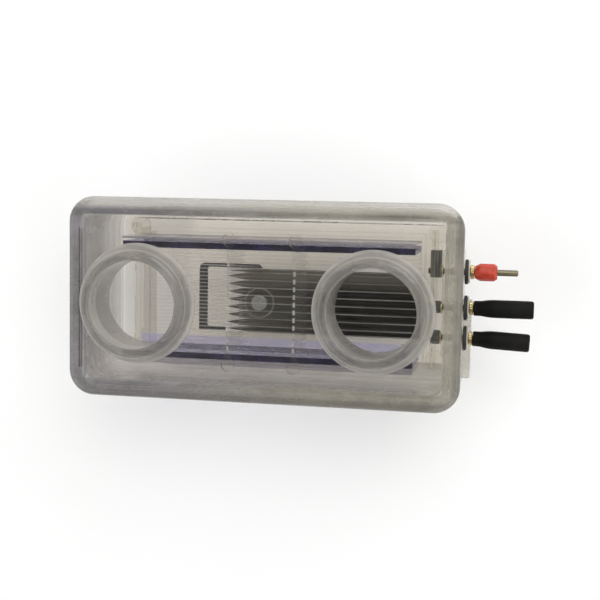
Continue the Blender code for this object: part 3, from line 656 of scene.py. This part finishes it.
def make_looks():
    """Every finish on the tank, by name."""
    LOOKS["tub"] = clear_look(
        "tub_plastic", (0.95, 0.939, 0.916), (0.87, 0.86, 0.83), (0.42, 0.405, 0.375), (0.006, 0.02),
        0.14, streaks=0.04, power=2.2, frost=tub_frost, lilac=0.6, tone=tub_tone,
    )
    LOOKS["lid"] = clear_look(
        "lid_plastic", (0.962, 0.954, 0.938), (0.6, 0.59, 0.56), (0.46, 0.45, 0.42), (0.006, 0.022),
        0.4, streaks=0.05, power=1.8, frost=lid_frost, lilac=0.35, tone=lid_tone,
    )
    LOOKS["port"] = clear_look(
        "frosted_port", (0.93, 0.92, 0.9), (0.72, 0.71, 0.69), (0.28, 0.268, 0.247), (0.42, 0.56),
        0.2, roughness=0.25, power=1.6, tone=port_tone, passes=(0.9, 0.895, 0.88),
    )
    LOOKS["insert"] = clear_look(
        "clear_insert", (0.975, 0.968, 0.95), (0.84, 0.83, 0.79), (0.4, 0.39, 0.35), (0.006, 0.02),
        0.14, streaks=0.05, power=2.0,
    )
    LOOKS["ledge"] = clear_look(
        "ledge_plastic", (0.97, 0.96, 0.93), (0.8, 0.78, 0.73), (0.62, 0.6, 0.53), (0.3, 0.45), 0.14,
    )
    LOOKS["tray"] = clear_look(
        "ribbed_tray", (0.99, 0.988, 0.98), (0.9, 0.89, 0.875), (0.64, 0.62, 0.58), (0.0, 0.004),
        0.1, power=2.0, frost=tray_frost, tone=tray_tone,
    )
    LOOKS["guide"] = clear_look(
        "guide_plastic", (0.985, 0.98, 0.975), (0.8, 0.79, 0.8), (0.26, 0.25, 0.29), (0.01, 0.03),
        0.1, frost=guide_frost,
    )
    LOOKS["comb"] = clear_look(
        "comb_plastic", (0.975, 0.972, 0.965), (0.92, 0.915, 0.91), (0.45, 0.44, 0.41), (0.004, 0.015),
        0.1, frost=comb_frost, tone=comb_tone,
    )
    LOOKS["violet"] = violet_look()
    LOOKS["lane"] = lane_look()
    LOOKS["loop"] = solid_look(
        "black_loop", (0.035, 0.034, 0.03), (0.018, 0.017, 0.015),
        bump_size=0.3, roughness=(0.35, 0.6),
    )
    # the key's dark grey is painted shade: it stands for the shadow line in the lid's slot
    LOOKS["key"] = solid_look("dark_key", (0.22, 0.21, 0.195), (0.13, 0.125, 0.115), bump_size=0.3)
    LOOKS["rubber"] = solid_look(
        "black_rubber", (0.02, 0.019, 0.018), (0.01, 0.01, 0.009),
        roughness=(0.55, 0.75), bump_size=0.5, bump_stretch=(2200, 2200, 2200),
    )
    LOOKS["sleeve"] = solid_look(
        "sleeve_plastic", (0.007, 0.007, 0.006), (0.004, 0.004, 0.0035),
        roughness=(0.5, 0.66), bump_size=0.35, worn=(0.018, 0.017, 0.016), specular=0.08,
    )
    LOOKS["red"] = solid_look(
        "red_cap_plastic", (0.57, 0.06, 0.03), (0.37, 0.028, 0.015),
        stretch=(140, 220, 220), roughness=(0.36, 0.52), bump_size=0.3, worn=(0.66, 0.16, 0.1),
        specular=0.35,
    )
    LOOKS["nut"] = solid_look(
        "pale_nut", (0.6, 0.57, 0.49), (0.42, 0.4, 0.33), roughness=(0.28, 0.45), metallic=0.35,
        bump_size=0.25, worn=(0.74, 0.72, 0.66),
    )
    LOOKS["inner_nut"] = solid_look(
        "dark_nut", (0.085, 0.082, 0.074), (0.03, 0.029, 0.026),
        stretch=(160, 160, 160), bump_size=0.4,
    )
    LOOKS["clamp"] = solid_look(
        "grey_clamp", (0.17, 0.163, 0.145), (0.07, 0.067, 0.058),
        stretch=(300, 60, 60), bump_size=0.4,
    )
    LOOKS["brass"] = solid_look(
        "brass", (0.62, 0.5, 0.2), (0.36, 0.27, 0.1), stretch=(300, 300, 300),
        roughness=(0.22, 0.42), metallic=0.9, bump_size=0.3, worn=(0.8, 0.7, 0.4),
    )
    LOOKS["pin"] = solid_look(
        "nickel_pin", (0.205, 0.182, 0.12), (0.13, 0.117, 0.078),
        stretch=(60, 260, 260), roughness=(0.34, 0.5), metallic=0.85, bump_size=0.2,
    )
    LOOKS["platinum"] = solid_look(
        "platinum", (0.7, 0.69, 0.67), (0.5, 0.49, 0.47), roughness=(0.2, 0.35), metallic=1.0,
    )


def violet_look():
    """Violet acrylic sheet: nearly black seen down through its edge, lilac through its faces."""
    look, tree = start_look("violet_acrylic")
    up = facing_up(tree)
    top = spread(tree, up, 0.55, 0.9)
    streak = noise(tree, (30, 500, 160), detail=4, roughness=0.7)
    patch = noise(tree, (90, 200, 200), detail=4)
    face = blend(tree, spread(tree, streak, 0.35, 0.65), (0.28, 0.275, 0.42), (0.42, 0.415, 0.5))
    edge = blend(tree, spread(tree, patch, 0.35, 0.75), (0.003, 0.002, 0.01), (0.015, 0.011, 0.052))
    inputs = {
        "Base Color": blend(tree, top, face, edge),
        "Roughness": spread(tree, patch, 0.3, 0.7, 0.12, 0.3),
        "Specular IOR Level": 0.25,
        "Normal": bump(tree, streak, 0.0003, 0.25),
    }
    solid = add(tree, "ShaderNodeBsdfPrincipled", inputs)
    through = add(tree, "ShaderNodeBsdfTransparent", {"Color": (0.86, 0.85, 0.95, 1.0)})
    opaque = spread(tree, patch, 0.35, 0.65, 0.4, 0.6)
    share = highest(tree, spread(tree, up, 0.55, 0.9, 0.0, 0.97), opaque)
    end_look(tree, pass_light(tree, mix_shaders(tree, share, through, solid), (0.84, 0.83, 0.93)))
    return look


def lane_look():
    """Black plate: matt lanes, and pale polished crests on the ridges that part them; where they widen
    between the lanes' points the crests are painted near white, a painted highlight."""
    look, tree = start_look("black_lanes")
    x = place_along(tree, "X")
    crest = spread(tree, place_along(tree, "Z"), PLATE_HIGH.z - 0.25 * MM, PLATE_HIGH.z - 0.08 * MM)
    tip = spread(tree, x, PLATE_LOW.x + 19 * MM, PLATE_LOW.x + 5 * MM)
    patch = noise(tree, (26, 240, 200), detail=4, roughness=0.65)
    dusty = spread(tree, x, PLATE_LOW.x + 62 * MM, PLATE_LOW.x + 10 * MM)
    deep = blend(tree, dusty, (0.0022, 0.0018, 0.0009), (0.032, 0.029, 0.021))
    worn = blend(tree, dusty, (0.0075, 0.0065, 0.004), (0.09, 0.084, 0.064))
    black = blend(tree, spread(tree, patch, 0.35, 0.68), deep, worn)
    pale = blend(tree, spread(tree, patch, 0.3, 0.7), (0.12, 0.115, 0.098), (0.25, 0.243, 0.215))
    # painted highlight: the crests turn near white towards the lanes' points
    pale = blend(tree, tip, pale, (0.95, 0.93, 0.88))
    dust = spread(tree, place_along(tree, "Y"), PLATE_HIGH.y - 17 * MM, PLATE_HIGH.y - 1 * MM, 0.0, 0.92)
    black = blend(tree, dust, black, (0.15, 0.145, 0.106))
    fine = noise(tree, (500, 1500, 1500), detail=3)
    inputs = {
        "Base Color": blend(tree, crest, black, pale),
        "Roughness": spread(tree, patch, 0.3, 0.7, 0.35, 0.6),
        "Specular IOR Level": 0.12,
        "Normal": bump(tree, fine, 0.0002, 0.3),
    }
    end_look(tree, add(tree, "ShaderNodeBsdfPrincipled", inputs))
    return look


# -------- tub
WALL = 3.3 * MM
FLANGE_OUT, FLANGE_THICK, FLANGE_CORNER = 3.5 * MM, 3.5 * MM, 16.8 * MM
FLOOR_THICK = 3.5 * MM
PLATFORM_THICK = 2.8 * MM
DRAFT = 1.5 * MM


def tub():
    """The clear tub: filleted floor and rim, its raised platform, and the channel for the lane plate."""
    rim, base = TUB_HIGH.z, TUB_LOW.z
    inner_floor = base + FLOOR_THICK
    flange_low = rim - FLANGE_THICK
    section = round_corner_loops(
        [
            # (inset from the flange's outline, height, rounding)
            (FLANGE_OUT + WALL + DRAFT, inner_floor, 3.0 * MM),
            (FLANGE_OUT + WALL, rim, 0.7 * MM),
            (0, rim, 0.9 * MM),
            (0, flange_low, 0.7 * MM),
            (FLANGE_OUT, flange_low, 0.8 * MM),
            (FLANGE_OUT + DRAFT, base, 2.6 * MM),
        ]
    )
    loops = inset_loops(section, TUB_HALF_X, TUB_HALF_Y, FLANGE_CORNER, 0.5 * MM)
    shell = object_from(loft(loops), "tub_shell")
    low = Vector((FLOOR_LOW.x - 1.1 * MM, PLATFORM_SOUTH, TUB_LOW.z))
    high = Vector((FLOOR_HIGH.x + 2.0 * MM, PLATFORM_NORTH, FLOOR_LOW.z - GAP))
    cut(shell, block((low.x, low.y, inner_floor - 1 * MM), high), "UNION")
    hollow_top = PLATE_LOW.z - GAP - PLATFORM_THICK
    hollow_low = (low.x + WALL, low.y + WALL, base - 1 * MM)
    cut(shell, block(hollow_low, (high.x - WALL, high.y - WALL, hollow_top)))
    channel_low = (low.x - 1 * MM, PLATE_LOW.y - 2 * GAP, PLATE_LOW.z - GAP)
    cut(shell, block(channel_low, (PLATE_HIGH.x + GAP, LOOP_HIGH.y + 2 * GAP, high.z + 2 * MM)))
    for name in TERMINALS:
        stud_at = middle(f"stud_{name}")
        wall_at = (TUB_HIGH.x - FLANGE_OUT, stud_at.y, stud_at.z)
        cut(shell, rod(BORE, -THROUGH, THROUGH, 32, "X", wall_at))
    soften(shell, 0.35 * MM, angle=40)
    finish_piece(shell, "tub", "tank", "tank_body")


def inset_loops(section, half_x, half_y, corner, least):
    """Rounded rectangles for a loft, one for each (inset, height) of a section."""
    return [
        rounded_rectangle(half_x - inset, half_y - inset, max(corner - inset, least), z)
        for inset, z in section
    ]


def round_corner_loops(corners, steps=4):
    """Loops for a loft from (inset, height, rounding) corners. The first and last start and end flat."""
    path = []
    for index, (inset, z, radius) in enumerate(corners):
        corner = Vector((inset, z))
        before = after = Vector((1, 0))
        if index > 0:
            before = (Vector(corners[index - 1][:2]) - corner).normalized()
        if index < len(corners) - 1:
            after = (Vector(corners[index + 1][:2]) - corner).normalized()
        path += arc(corner + before * radius, corner, corner + after * radius, steps)
    return path


# -------- lid
SKIRT = 2.5 * MM
EDGE_ROUND, LID_CORNER = 3.8 * MM, 17 * MM
STEP_IN, STEP_DOWN = 8.6 * MM, 0.35 * MM


def lid():
    """The clear lid: rounded edge, thin skirt, a shallow step round its border, port holes and key slot."""
    low, edge = LID_LOW.z, LID_TOP - EDGE_ROUND
    skirt = [
        (SKIRT, LID_TOP - 3.0 * MM, 1.2 * MM),
        (SKIRT, low, 0.5 * MM),
        (0.6 * MM, low, 0.5 * MM),
        (0.0, edge, 0.2 * MM),
    ]
    # the skirt's last corner only aims the one before it: the lid's round edge starts there
    corner_steps, arc_steps = 4, 10
    section = round_corner_loops(skirt, corner_steps)[: -(corner_steps + 1)]
    for step in range(arc_steps + 1):
        angle = step / arc_steps * math.pi / 2
        section.append((EDGE_ROUND * (1 - math.cos(angle)), edge + EDGE_ROUND * math.sin(angle)))
    section += [
        (STEP_IN - 0.5 * MM, LID_TOP),
        (STEP_IN - 0.1 * MM, LID_TOP - STEP_DOWN * 0.25),
        (STEP_IN + 0.3 * MM, LID_TOP - STEP_DOWN),
        (STEP_IN + 1.2 * MM, LID_TOP - STEP_DOWN),
        (STEP_IN + 1.8 * MM, LID_TOP),
    ]
    loops = inset_loops(section, LID_HALF_X, LID_HALF_Y, LID_CORNER, 1 * MM)
    cover = object_from(loft(loops), "lid_cover")
    for side in SIDES:
        centre = middle(f"port_collar_{side}")
        cut(cover, rod(PORT_TUBE + GAP, -THROUGH, THROUGH, 128, at=(centre.x, centre.y, LID_TOP)))
    slot_at = Vector((*middle("lid_key").xy, LID_TOP))
    slot_half = Vector((1.2 * MM, (KEY_HIGH.y - KEY_LOW.y) / 2 + GAP, THROUGH))
    cut(cover, block(slot_at - slot_half, slot_at + slot_half))
    gate_mark(cover)
    soften(cover, 0.3 * MM, angle=40)
    finish_piece(cover, "lid", "lid", "lid")


def gate_mark(cover):
    """The round scar of the moulding gate in the lid's middle: a low pad with a dimple."""
    # (share of the scar's radius, millimetres above the lid)
    profile = [(0, -1.0), (1, -1.0), (1, 0.15), (0.9, 0.5), (0.44, 0.55), (0.28, 0.25), (0, 0.1)]
    pad = turned([(share * GATE_RADIUS, level * MM) for share, level in profile], 48, closed=False)
    bmesh.ops.translate(pad, vec=(MIDDLE_X, 0, LID_TOP), verts=pad.verts)
    cut(cover, pad, "UNION")


def port(side):
    """A round open port: flared foot on the lid, rounded top land, tube down into the tank."""
    low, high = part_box(f"port_collar_{side}")
    centre = middle(f"port_collar_{side}")
    base, foot = LID_TOP + GAP, (high.x - low.x) / 2
    points = [
        (PORT_BORE, low.z),
        (PORT_TUBE, low.z),
        (PORT_TUBE, base),
        (foot, base),
        (foot - 0.3 * MM, base + 1.5 * MM),
        (foot - 2.4 * MM, base + 3.6 * MM),
        (PORT_SHOULDER, high.z - 4.8 * MM),
        (PORT_LAND_OUT + 1.6 * MM, high.z - 1.2 * MM),
        (PORT_LAND_OUT, high.z),
        (PORT_LAND_IN, high.z),
        (PORT_BORE, high.z - 1.6 * MM),
    ]
    radii = [0.5, 0.5, 0.3, 0.4, 0.9, 1.8, 2.0, 1.3, 1.2, 1.0, 0.8]
    profile = round_profile(points, [radius * MM for radius in radii])
    collar = object_from(turned(profile, 144), f"port_{side}", (centre.x, centre.y, 0))
    finish_piece(collar, "port", "lid", f"port_collar_{side}", smooth=50)


# -------- combs
def comb(side):
    """A clear comb: bar with round lugs, a blade with thirteen teeth, a frosted mark over each tooth."""
    low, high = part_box(f"comb_{side}")
    station, tray_middle = middle(f"comb_{side}").x, middle("tray_floor").y
    top, half, lug = high.z, 1.2 * MM, 4.4 * MM
    # below its top: the bar's underside, the teeth's roots and tips
    bar, root, tip = -3.0 * MM, low.z + 11 * MM - top, low.z - top
    south, north = low.y + lug, high.y - lug
    pitch, tooth, teeth = 5.04 * MM, 3.4 * MM, 13
    blade_south, blade_north = FLOOR_LOW.y + GAP, FLOOR_HIGH.y - GAP
    outline = [(south, bar), (blade_south, bar), (blade_south, root)]
    centres = [tray_middle + (index - (teeth - 1) / 2) * pitch for index in range(teeth)]
    for centre in centres:
        outline += [
            (centre - tooth / 2, root),
            (centre - tooth / 2 + 0.2 * MM, tip),
            (centre + tooth / 2 - 0.2 * MM, tip),
            (centre + tooth / 2, root),
        ]
    outline += [(blade_north, root), (blade_north, bar), (north, bar), (north, 0), (south, 0)]
    body = object_from(prism(outline, -half, half, axis="X"), f"comb_blade_{side}")
    for y in (south, north):
        cut(body, rod(lug, bar, 0, 48, at=(0, y, 0)), "UNION")
    mark_x, mark_y = 0.75 * MM, 1.5 * MM
    for centre in centres:
        mark = block((-mark_x, centre - mark_y, -0.4 * MM), (mark_x, centre + mark_y, 0.3 * MM))
        cut(body, mark, "UNION")
    body.location = (station, 0, top)
    soften(body, 0.2 * MM, angle=40)
    finish_piece(body, "comb", f"comb_{side}", f"comb_{side}")


# -------- terminals
def flat_sided(angle, reach, sides):
    """The radius at an angle of a regular outline whose flats lie at reach from its middle."""
    side = 2 * math.pi / sides
    return reach / math.cos(angle % side - side / 2)


def chamfered(radius, left, right, face, trim):
    """The profile of a bored ring with chamfered rims. face is the end faces' share of its radius."""
    return [
        (BORE, left),
        (radius * face, left),
        (radius, left + trim),
        (radius, right - trim),
        (radius * face, right),
        (BORE, right),
    ]


def nut(name, node, trim=0.6 * MM):
    """A bored hexagon nut with chamfered rims."""
    axis, radius, left, right = round_size(node)

    def shaped(angle, size):
        if size <= BORE * 1.01:
            return size
        hexagon = flat_sided(angle, radius * math.cos(math.pi / 6), 6)
        return min(size, hexagon * (1.0 if size > radius * 0.95 else 0.99))

    profile = chamfered(radius, left, right, 0.93, trim)
    return object_from(turned(profile, 72, "X", wave=shaped), name, axis)


def terminal(name):
    """One terminal: nut or clamp block, pale flange nut, ribbed brass collar, washer, threaded stud."""
    if name == "red":
        clamp_block()
    else:
        inner = nut(f"nut_inner_{name}", f"inner_nut_{name}")
        finish_piece(inner, "inner_nut", "tank", f"inner_nut_{name}", smooth=25)
    flange = nut(f"nut_flange_{name}", f"flange_nut_{name}", trim=0.25 * MM)
    finish_piece(flange, "nut", "tank", f"flange_nut_{name}", smooth=25)
    brass_collar(name)
    washer(name)
    stud(name)


def clamp_block():
    """The dark block on the red stud: grooves across its top, and the stud's bore."""
    low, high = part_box("clamp_block_red")
    grooves, groove, depth = 3, 0.9 * MM, 0.8 * MM
    pitch = (high.x - low.x) / (grooves + 0.5)
    outline = [(low.x, low.z), (low.x, high.z)]
    for index in range(grooves):
        left = low.x + (index + 0.75) * pitch - groove / 2
        right, foot = left + groove, high.z - depth
        outline += [(left, high.z), (left, foot), (right, foot), (right, high.z)]
    outline += [(high.x, high.z), (high.x, low.z)]
    body = object_from(prism(outline, low.y, high.y, axis="Y"), "clamp_body_red")
    axis = middle("stud_red")
    cut(body, rod(BORE, low.x - 1 * MM, high.x + 1 * MM, 32, "X", (0, axis.y, axis.z)))
    soften(body, 0.25 * MM, angle=40)
    finish_piece(body, "clamp", "tank", "clamp_block_red")


def brass_collar(name):
    """A short brass collar with fine ribs round it."""
    axis, radius, left, right = round_size(f"collar_{name}")
    profile = chamfered(radius, left, right, 0.88, 0.3 * MM)
    ribs = 22

    def ribbed(angle, size):
        depth = 0.22 * MM if size > 2.5 * MM else 0
        return size - depth * (0.5 + 0.5 * math.cos(ribs * angle))

    body = object_from(turned(profile, ribs * 6, "X", wave=ribbed), f"brass_collar_{name}", axis)
    finish_piece(body, "brass", "tank", f"collar_{name}", smooth=40)


def washer(name):
    """A black washer with rounded rims."""
    axis, radius, left, right = round_size(f"washer_{name}")
    points = [(BORE, left), (radius, left), (radius, right), (BORE, right)]
    profile = round_profile(points, [0.2 * MM, 0.5 * MM, 0.5 * MM, 0.2 * MM])
    body = object_from(turned(profile, 64, "X"), f"rubber_washer_{name}", axis)
    finish_piece(body, "rubber", "tank", f"washer_{name}", smooth=40)


THREAD = 11 * MM


def stud(name):
    """A stud: a rolled thread inside the tank, and outside a plain pin with a rounded tip."""
    axis, radius, left, right = round_size(f"stud_{name}")
    profile = [(0, left), (radius - 0.5 * MM, left), (radius - 0.1 * MM, left + 0.5 * MM)]
    pitch, depth = 0.7 * MM, 0.28 * MM
    turns = int(THREAD / pitch)
    for turn in range(turns):
        start = left + 0.6 * MM + turn * pitch
        profile += [(radius, start), (radius - depth, start + pitch / 2)]
    profile += [
        (radius, left + 0.6 * MM + turns * pitch),
        (radius, right - 1.0 * MM),
        (radius - 0.25 * MM, right - 0.45 * MM),
        (radius - 0.9 * MM, right - 0.08 * MM),
        (0, right),
    ]
    body = object_from(turned(profile, 40, "X", closed=False), f"threaded_stud_{name}", axis)
    finish_piece(body, "pin", "tank", f"stud_{name}", smooth=45)


def red_cap():
    """The red cap: eight soft flats between tapered ends."""
    axis, radius, left, right = round_size("red_cap")
    points = [
        (BORE, left),
        (3.9 * MM, left),
        (radius, left + 3.4 * MM),
        (radius, right - 2.0 * MM),
        (4.3 * MM, right),
        (BORE, right),
    ]
    profile = round_profile(points, [0.1 * MM, 0.4 * MM, 1.4 * MM, 0.8 * MM, 0.4 * MM, 0.1 * MM], 4)

    def flats(angle, size):
        return min(size, flat_sided(angle, radius * 0.955, 8)) if size > 3 * MM else size

    body = object_from(turned(profile, 96, "X", wave=flats), "red_terminal_cap", axis)
    finish_piece(body, "red", "red_cap", "red_cap", smooth=28)


def sleeve(name, body_name, tilt):
    """A black plug sleeve: narrow waist, plain barrel and a soft end."""
    node = f"sleeve_{name}"
    axis = middle(f"stud_{name}")
    mouth = Vector((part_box(f"collar_{name}")[1].x + GAP, axis.y, axis.z))
    length = (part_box(node)[1].x - mouth.x) / math.cos(tilt) - 0.35 * MM
    bore, depth = 3.2 * MM, 26.2 * MM
    points = [
        (0, depth),
        (bore, depth),
        (bore, 0.3 * MM),
        (3.6 * MM, 0),
        (4.5 * MM, 0),
        (4.8 * MM, 0.5 * MM),
        (4.9 * MM, 5.0 * MM),
        (5.5 * MM, 8.5 * MM),
        (5.8 * MM, 12.0 * MM),
        (5.8 * MM, length - 1.6 * MM),
        (5.5 * MM, length - 0.6 * MM),
        (4.7 * MM, length - 0.05 * MM),
        (0, length),
    ]
    barrel = object_from(turned(points, 64, "X", closed=False), f"plug_{node}", mouth)
    barrel.rotation_euler = (0, 0, tilt)
    finish_piece(barrel, "sleeve", body_name, node, smooth=35)


# -------- stage
FLOOR_REACH, FLOOR_FADE = 60, (1.2, 3.6)
HORIZON, SKY_STRENGTH = (0.9, 0.9, 0.885), 0.8
AIM = Vector((0, 0, 0.05))


def floor():
    """A plain pale floor that reaches to the horizon."""
    shape = bmesh.new()
    bmesh.ops.create_grid(shape, x_segments=1, y_segments=1, size=FLOOR_REACH)
    ground = object_from(shape, "pale_floor")
    look, tree = start_look("pale_floor")
    tone = noise(tree, (3, 3, 3), detail=2)
    inputs = {
        "Base Color": blend(tree, tone, (0.95, 0.95, 0.95), (0.97, 0.97, 0.97)),
        "Roughness": 0.9,
        "Specular IOR Level": 0.1,
    }
    near = add(tree, "ShaderNodeBsdfPrincipled", inputs)
    far = add(tree, "ShaderNodeEmission", {"Color": (*HORIZON, 1.0), "Strength": SKY_STRENGTH})
    x, y = place_along(tree, "X"), place_along(tree, "Y")
    distance = maths(tree, "SQRT", squares(tree, x, y))
    end_look(tree, mix_shaders(tree, spread(tree, distance, *FLOOR_FADE), near, far))
    ground.data.materials.append(look)


def lights():
    """A soft sky and three wide lamps that point at the tank."""
    world = bpy.data.worlds.new("studio")
    bpy.context.scene.world = world
    world.use_nodes = True
    tree = world.node_tree
    direction = add(tree, "ShaderNodeTexCoord").outputs["Generated"]
    up = add(tree, "ShaderNodeSeparateXYZ", {0: direction}).outputs["Z"]
    tone = blend(tree, spread(tree, up, 0.1, 0.9), HORIZON, (0.36, 0.36, 0.36))
    sky = tree.nodes["Background"]
    tree.links.new(tone, sky.inputs["Color"])
    sky.inputs["Strength"].default_value = SKY_STRENGTH
    for name, spot, size, power in (
        ("key", (0.75, 1.4, 1.5), 1.8, 34.0),
        ("fill", (-1.6, -0.6, 1.3), 2.0, 18.0),
        ("side", (1.7, -0.9, 1.4), 1.8, 13.0),
    ):
        lamp = bpy.data.lights.new(name, "AREA")
        lamp.size = size
        lamp.energy = power
        holder = add_object(name, lamp, spot)
        holder.rotation_euler = (AIM - Vector(spot)).to_track_quat("-Z", "Y").to_euler()


def camera():
    """Looks down on the lid from beyond its upper right corner."""
    lens = bpy.data.cameras.new("camera")
    lens.sensor_width = 36.0
    lens.lens = 69.72
    lens.clip_start = 0.01
    holder = add_object("camera", lens, (MIDDLE_X + 0.16522, 0.0766, 0.81311))
    holder.rotation_euler = [math.radians(angle) for angle in (-5.479, 10.899, 1.128)]
    bpy.context.scene.camera = holder


def settings():
    """True colours, and enough bounces for light to pass through every clear wall."""
    scene = bpy.context.scene
    scene.view_settings.view_transform = "Standard"
    scene.cycles.transparent_max_bounces = 48
    scene.cycles.max_bounces = 10


def main():
    make_looks()
    camera()
    lights()
    floor()
    settings()
    tub()
    lid()
    for side in SIDES:
        port(side)
    for name in TERMINALS:
        terminal(name)
    red_cap()
    sleeve("black_mid", "sleeve_mid", 0.0)
    sleeve("black_low", "sleeve_low", math.radians(-2.6))
    for side in ("north", "south"):
        dress(f"tray_wall_{side}", "violet", bevel=0.25 * MM)
        dress(f"comb_guide_{side}", "guide", bevel=0.2 * MM)
    dress("tray_floor", "tray")
    for side in SIDES:
        comb(side)
        dress(f"electrode_carrier_{side}", "insert", bevel=0.2 * MM)
        dress(f"electrode_wire_{side}", "platinum", smooth=60)
        dress(f"lead_{side}", "platinum", smooth=60)
    dress("lane_plate", "lane")
    dress("finger_loop", "loop", bevel=0.3 * MM)
    dress("lid_key", "key", bevel=0.2 * MM)
    for name in ("terminal_pad", "terminal_block"):
        dress(name, "insert", bevel=0.5 * MM)
    dress("side_ledge", "ledge", bevel=0.5 * MM)
    for name in TERMINALS:
        dress(f"solder_lug_{name}", "brass", smooth=40)
    for side in SIDES:
        for end in ("south", "north"):
            dress(f"foot_{side}_{end}", "insert", smooth=40)


main()
